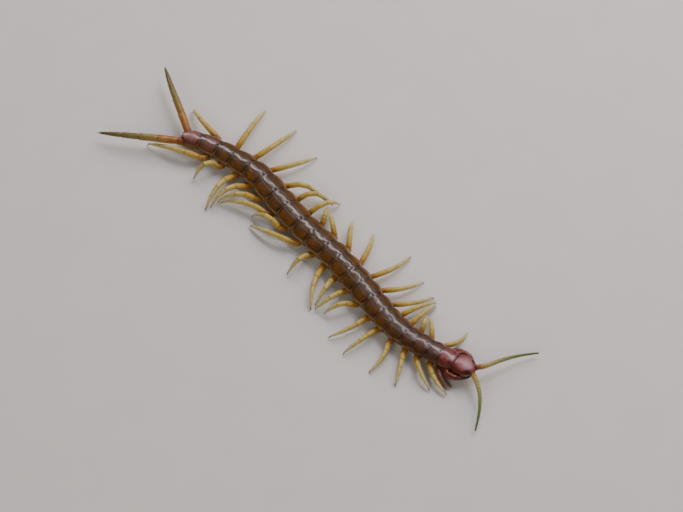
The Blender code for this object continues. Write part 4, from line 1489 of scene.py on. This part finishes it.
def venom_rings():
    """Shares along a claw, radii and dark joints: the base and two short rings, then the smooth fang."""
    places = np.array([row[:3] for row in VENOM_CLAW])
    knots = np.append(0.0, np.cumsum(np.linalg.norm(np.diff(places, axis=0), axis=1)))
    where, factor, joint = lengths_of(VENOM_MARKS)
    fang = np.linspace(0.0, 1.0, 26)
    where = np.append(where, 0.662 + 0.336 * fang)
    factor = np.append(factor, 0.86 + 0.14 * smooth(fang, 0.0, 0.12))
    joint = np.append(joint, 1 - smooth(fang, 0.0, 0.06))
    radius = np.interp(where, knots / knots[-1], [row[3] for row in VENOM_CLAW]) * factor
    return where, radius * (1 - 0.75 * smooth(where, 0.9, 1.0)), joint


print("rings of a venom claw:", len(venom_rings()[0]))

# %% Bend the venom claws
def venom_claw(side):
    sign = SIGN[side]
    line = Line(head_points(VENOM_CLAW, sign))
    where, radius, joint = venom_rings()
    pile = Pile("along", "joint")
    pile.tube(line.at(where * line.length), radius, UP, 28, 0.86, along=np.clip(where, 0, 1), joint=joint)
    inner = unit(head_point(1.6, 0.0, 3.5) - head_point(1.6, sign, 3.5))
    ahead = unit(head_point(4.0, 0, 3.3) - head_point(2.0, 0, 3.3))
    root = head_point(2.6, sign * 3.8, 3.3)
    tooth = [root + inner * x + ahead * x * x * 0.4 for x in (0.0, 0.35, 0.7, 0.95, 1.08)]
    pile.tube(tooth, [0.46, 0.42, 0.33, 0.2, 0.05], UP, 14, along=[0.4, 0.5, 0.66, 0.8, 0.9])
    pile.tube(head_points(SHOULDER, sign), [0.85, 0.98, 1.08, 1.14, 1.1, 0.96], UP, 24, 0.9, along=0.1,
              joint=[0, 0, 0, 0, 0, 0.6])
    pile.piece(f"venom_claw_{side}_shell", VENOM, stands_for=[f"venom_claw_{side}"], slot="venom_claws")
    return line.length


print("venom claws:", [round(venom_claw(side), 1) for side in SIGN], "mm along their bend")

# %% [markdown]
# ## The plate that carries the venom claws
# A broad shield under the head joins the bases of both claws. A groove runs down its middle, and its front
# edge has two small dark plates with four teeth each.

# %% The chin shield
# Share along the shield, half width, height of its top and of its underside
CHIN_TABLE = ((0.0, 3.0, 3.65, 2.3), (0.3, 3.15, 3.65, 2.15), (0.65, 2.7, 3.6, 2.2), (0.9, 2.0, 3.5, 2.4),
              (1.0, 1.5, 3.3, 2.6))
CHIN_LENGTH = 4.6
CHIN_LINES = table_lines(CHIN_TABLE, CHIN_LENGTH)
angle = full_turn(120)
across, upright = boxy(angle, 0.7, 0.8)
rings, grooves = [], []
for u in [-0.42, -0.36, -0.2, *np.linspace(0.0, 1.0, 30)]:
    half, top, floor = table_values(CHIN_LINES, u * CHIN_LENGTH)
    y = half * (1 + 0.12 * smooth(-u, 0.0, 0.25) - 0.25 * smooth(-u, 0.3, 0.45)) * across
    top = top - 0.9 * smooth(-u, 0.0, 0.2)
    floor = floor - 0.15 * smooth(-u, 0.0, 0.3)
    groove = bell(y, 0.0, 0.15) * (np.sin(angle) < 0) * smooth(u, 0.0, 0.2)
    z = (top + floor) / 2 + (top - floor) / 2 * upright + 0.12 * groove
    rings.append(head_point(u * CHIN_LENGTH, y, z))
    grooves.append(0.8 * groove)
points, faces = tube_mesh(np.array(rings))
chin = Pile("along", "joint")
chin.add(points, faces, along=0.25, joint=np.append(grooves, [0, 0]))
print("chin shield:", len(points), "points")

# %% The teeth of the chin shield
TEETH = 4
TOOTH_PLATE, TOOTH_HEIGHT = CHIN_LENGTH * 0.95, 2.85
left = unit(head_point(0.0, 1.0, 0.0) - head_point(0.0, 0.0, 0.0))
for sign in (1, -1):
    plate = [head_point(TOOTH_PLATE + x, sign * 0.72, TOOTH_HEIGHT) for x in (0.0, 0.3, 0.55, 0.75)]
    chin.tube(plate, [0.58, 0.62, 0.58, 0.46], left, 24, 0.36, along=[0.5, 0.7, 0.8, 0.84])
    for tooth in range(TEETH):
        y = sign * (0.3 + 0.28 * tooth)
        base = head_point(TOOTH_PLATE + 0.6, y, TOOTH_HEIGHT)
        tip = head_point(TOOTH_PLATE + 1.0 - 0.05 * tooth, y, TOOTH_HEIGHT)
        chin.thorn(base, tip, [0.17, 0.11, 0.02], UP, 10, along=[0.84, 0.95, 1.0])
chin.piece("chin_shield", VENOM, stands_for=["chin_plate"], slot="venom_claws")
print("teeth of the chin shield:", 2 * TEETH)

# %% [markdown]
# ## Stage, light and camera
# The animal stands on a plain pale floor. The pale streak on a real polished back is the mirrored sky.
# So a long thin lamp lies where the camera sees it mirrored in the back, with a weaker wide one behind it
# for a soft border and one for the head. Two fills light the near and far sides and stay out of the shine.
# The camera looks down at a little over fifty degrees, from in front and to the right.

# %% Floor
floor_material = bpy.data.materials.new("pale floor")
floor_material.use_nodes = True
floor_tree = floor_material.node_tree
floor_shader = floor_tree.nodes["Principled BSDF"]
floor_colour = mix_colour(floor_tree, noise(floor_tree, 60.0), (0.60, 0.585, 0.565), (0.64, 0.625, 0.605))
feed(floor_tree, floor_shader.inputs["Base Color"], floor_colour)
feed(floor_tree, floor_shader.inputs["Roughness"], 0.85)
floor_mesh = bpy.data.meshes.new("floor")
floor_mesh.from_pydata([(-3, -3, 0), (3, -3, 0), (3, 3, 0), (-3, 3, 0)], [], [(0, 1, 2, 3)])
floor_mesh.materials.append(floor_material)
floor = bpy.data.objects.new("floor", floor_mesh)
bpy.context.scene.collection.objects.link(floor)
floor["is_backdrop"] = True
print("the floor is", round(floor.dimensions.x), "m wide")

# %% From where the camera looks
ELEVATION, AZIMUTH = math.radians(52.0), math.radians(45.6)
LEVEL = math.cos(ELEVATION)
TO_CAMERA = Vector((math.sin(AZIMUTH) * LEVEL, -math.cos(AZIMUTH) * LEVEL, math.sin(ELEVATION)))
MIRROR = Vector((-TO_CAMERA.x, -TO_CAMERA.y, TO_CAMERA.z))
print("to the camera:", [round(v, 3) for v in TO_CAMERA], "mirrored:", [round(v, 3) for v in MIRROR])

# %% Lights
def soft_lamp(name, place, size, power, colour):
    lamp = bpy.data.lights.new(name, "AREA")
    lamp.shape = "RECTANGLE"
    lamp.size, lamp.size_y = size
    lamp.energy = power
    lamp.color = colour
    holder = bpy.data.objects.new(name, lamp)
    holder.location = place
    back = Vector(place).normalized()
    level = (Vector((1, 0, 0)) - back * back.x).normalized()
    holder.rotation_euler = Matrix((level, back.cross(level), back)).transposed().to_euler()
    bpy.context.scene.collection.objects.link(holder)
    return holder


LAMP_REACH = 0.8
over_head = MIRROR * LAMP_REACH + Vector((0.40, -0.05, 0.0))
soft_lamp("sky strip", MIRROR * LAMP_REACH, (1.2, 0.026), 2.5, (1.0, 0.92, 0.93))
soft_lamp("sky", MIRROR * 0.86, (1.1, 0.16), 0.40, (0.92, 0.86, 1.0))
soft_lamp("sky over the head", over_head, (0.34, 0.34), 1.9, (0.86, 0.80, 1.0))
far_fill = soft_lamp("far fill", (-0.1, 0.7, 0.55), (0.8, 0.5), 5.8, (1.0, 0.88, 0.73))
near_fill = soft_lamp("near fill", (0.35, -0.75, 0.6), (0.7, 0.4), 3.9, (1.0, 0.97, 0.87))
for lamp in (far_fill, near_fill):
    lamp.visible_glossy = False
print("lamps:", [light.name for light in bpy.data.lights])
world = bpy.data.worlds.new("studio")
world.use_nodes = True
world.node_tree.nodes["Background"].inputs["Color"].default_value = (0.80, 0.82, 0.86, 1)
world.node_tree.nodes["Background"].inputs["Strength"].default_value = 0.10
bpy.context.scene.world = world

# %% Camera
REACH = 0.9
MM_PER_PIXEL = 0.3295
IMAGE_WIDTH = 683
SENSOR = 36
right = Vector((math.cos(AZIMUTH), math.sin(AZIMUTH), 0))
camera_data = bpy.data.cameras.new("camera")
camera_data.sensor_width = SENSOR
camera_data.lens = REACH / (MM_PER_PIXEL * MM) * SENSOR / IMAGE_WIDTH
camera = bpy.data.objects.new("camera", camera_data)
bpy.context.scene.collection.objects.link(camera)
turn = Matrix((right, TO_CAMERA.cross(right), TO_CAMERA)).transposed().to_4x4()
camera.matrix_world = Matrix.Translation(Vector(MOVE * MM) + TO_CAMERA * REACH) @ turn
bpy.context.scene.camera = camera
print("lens", round(camera_data.lens, 1), "mm, pieces:", len(PIECES))

# %% [markdown]
# ## The size of the dressed animal
# The dressed animal has to fit the box of its solids, so both boxes are printed side by side.

# %% Print the sizes
bpy.context.view_layer.update()
boxes = {"cad": [list(map(float, corner)) for corner in CAD_BOX],
         "visual": [list(map(float, corner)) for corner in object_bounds()]}
for key, (low, high) in boxes.items():
    print(key, [round(v / MM, 2) for v in low], [round(v / MM, 2) for v in high])
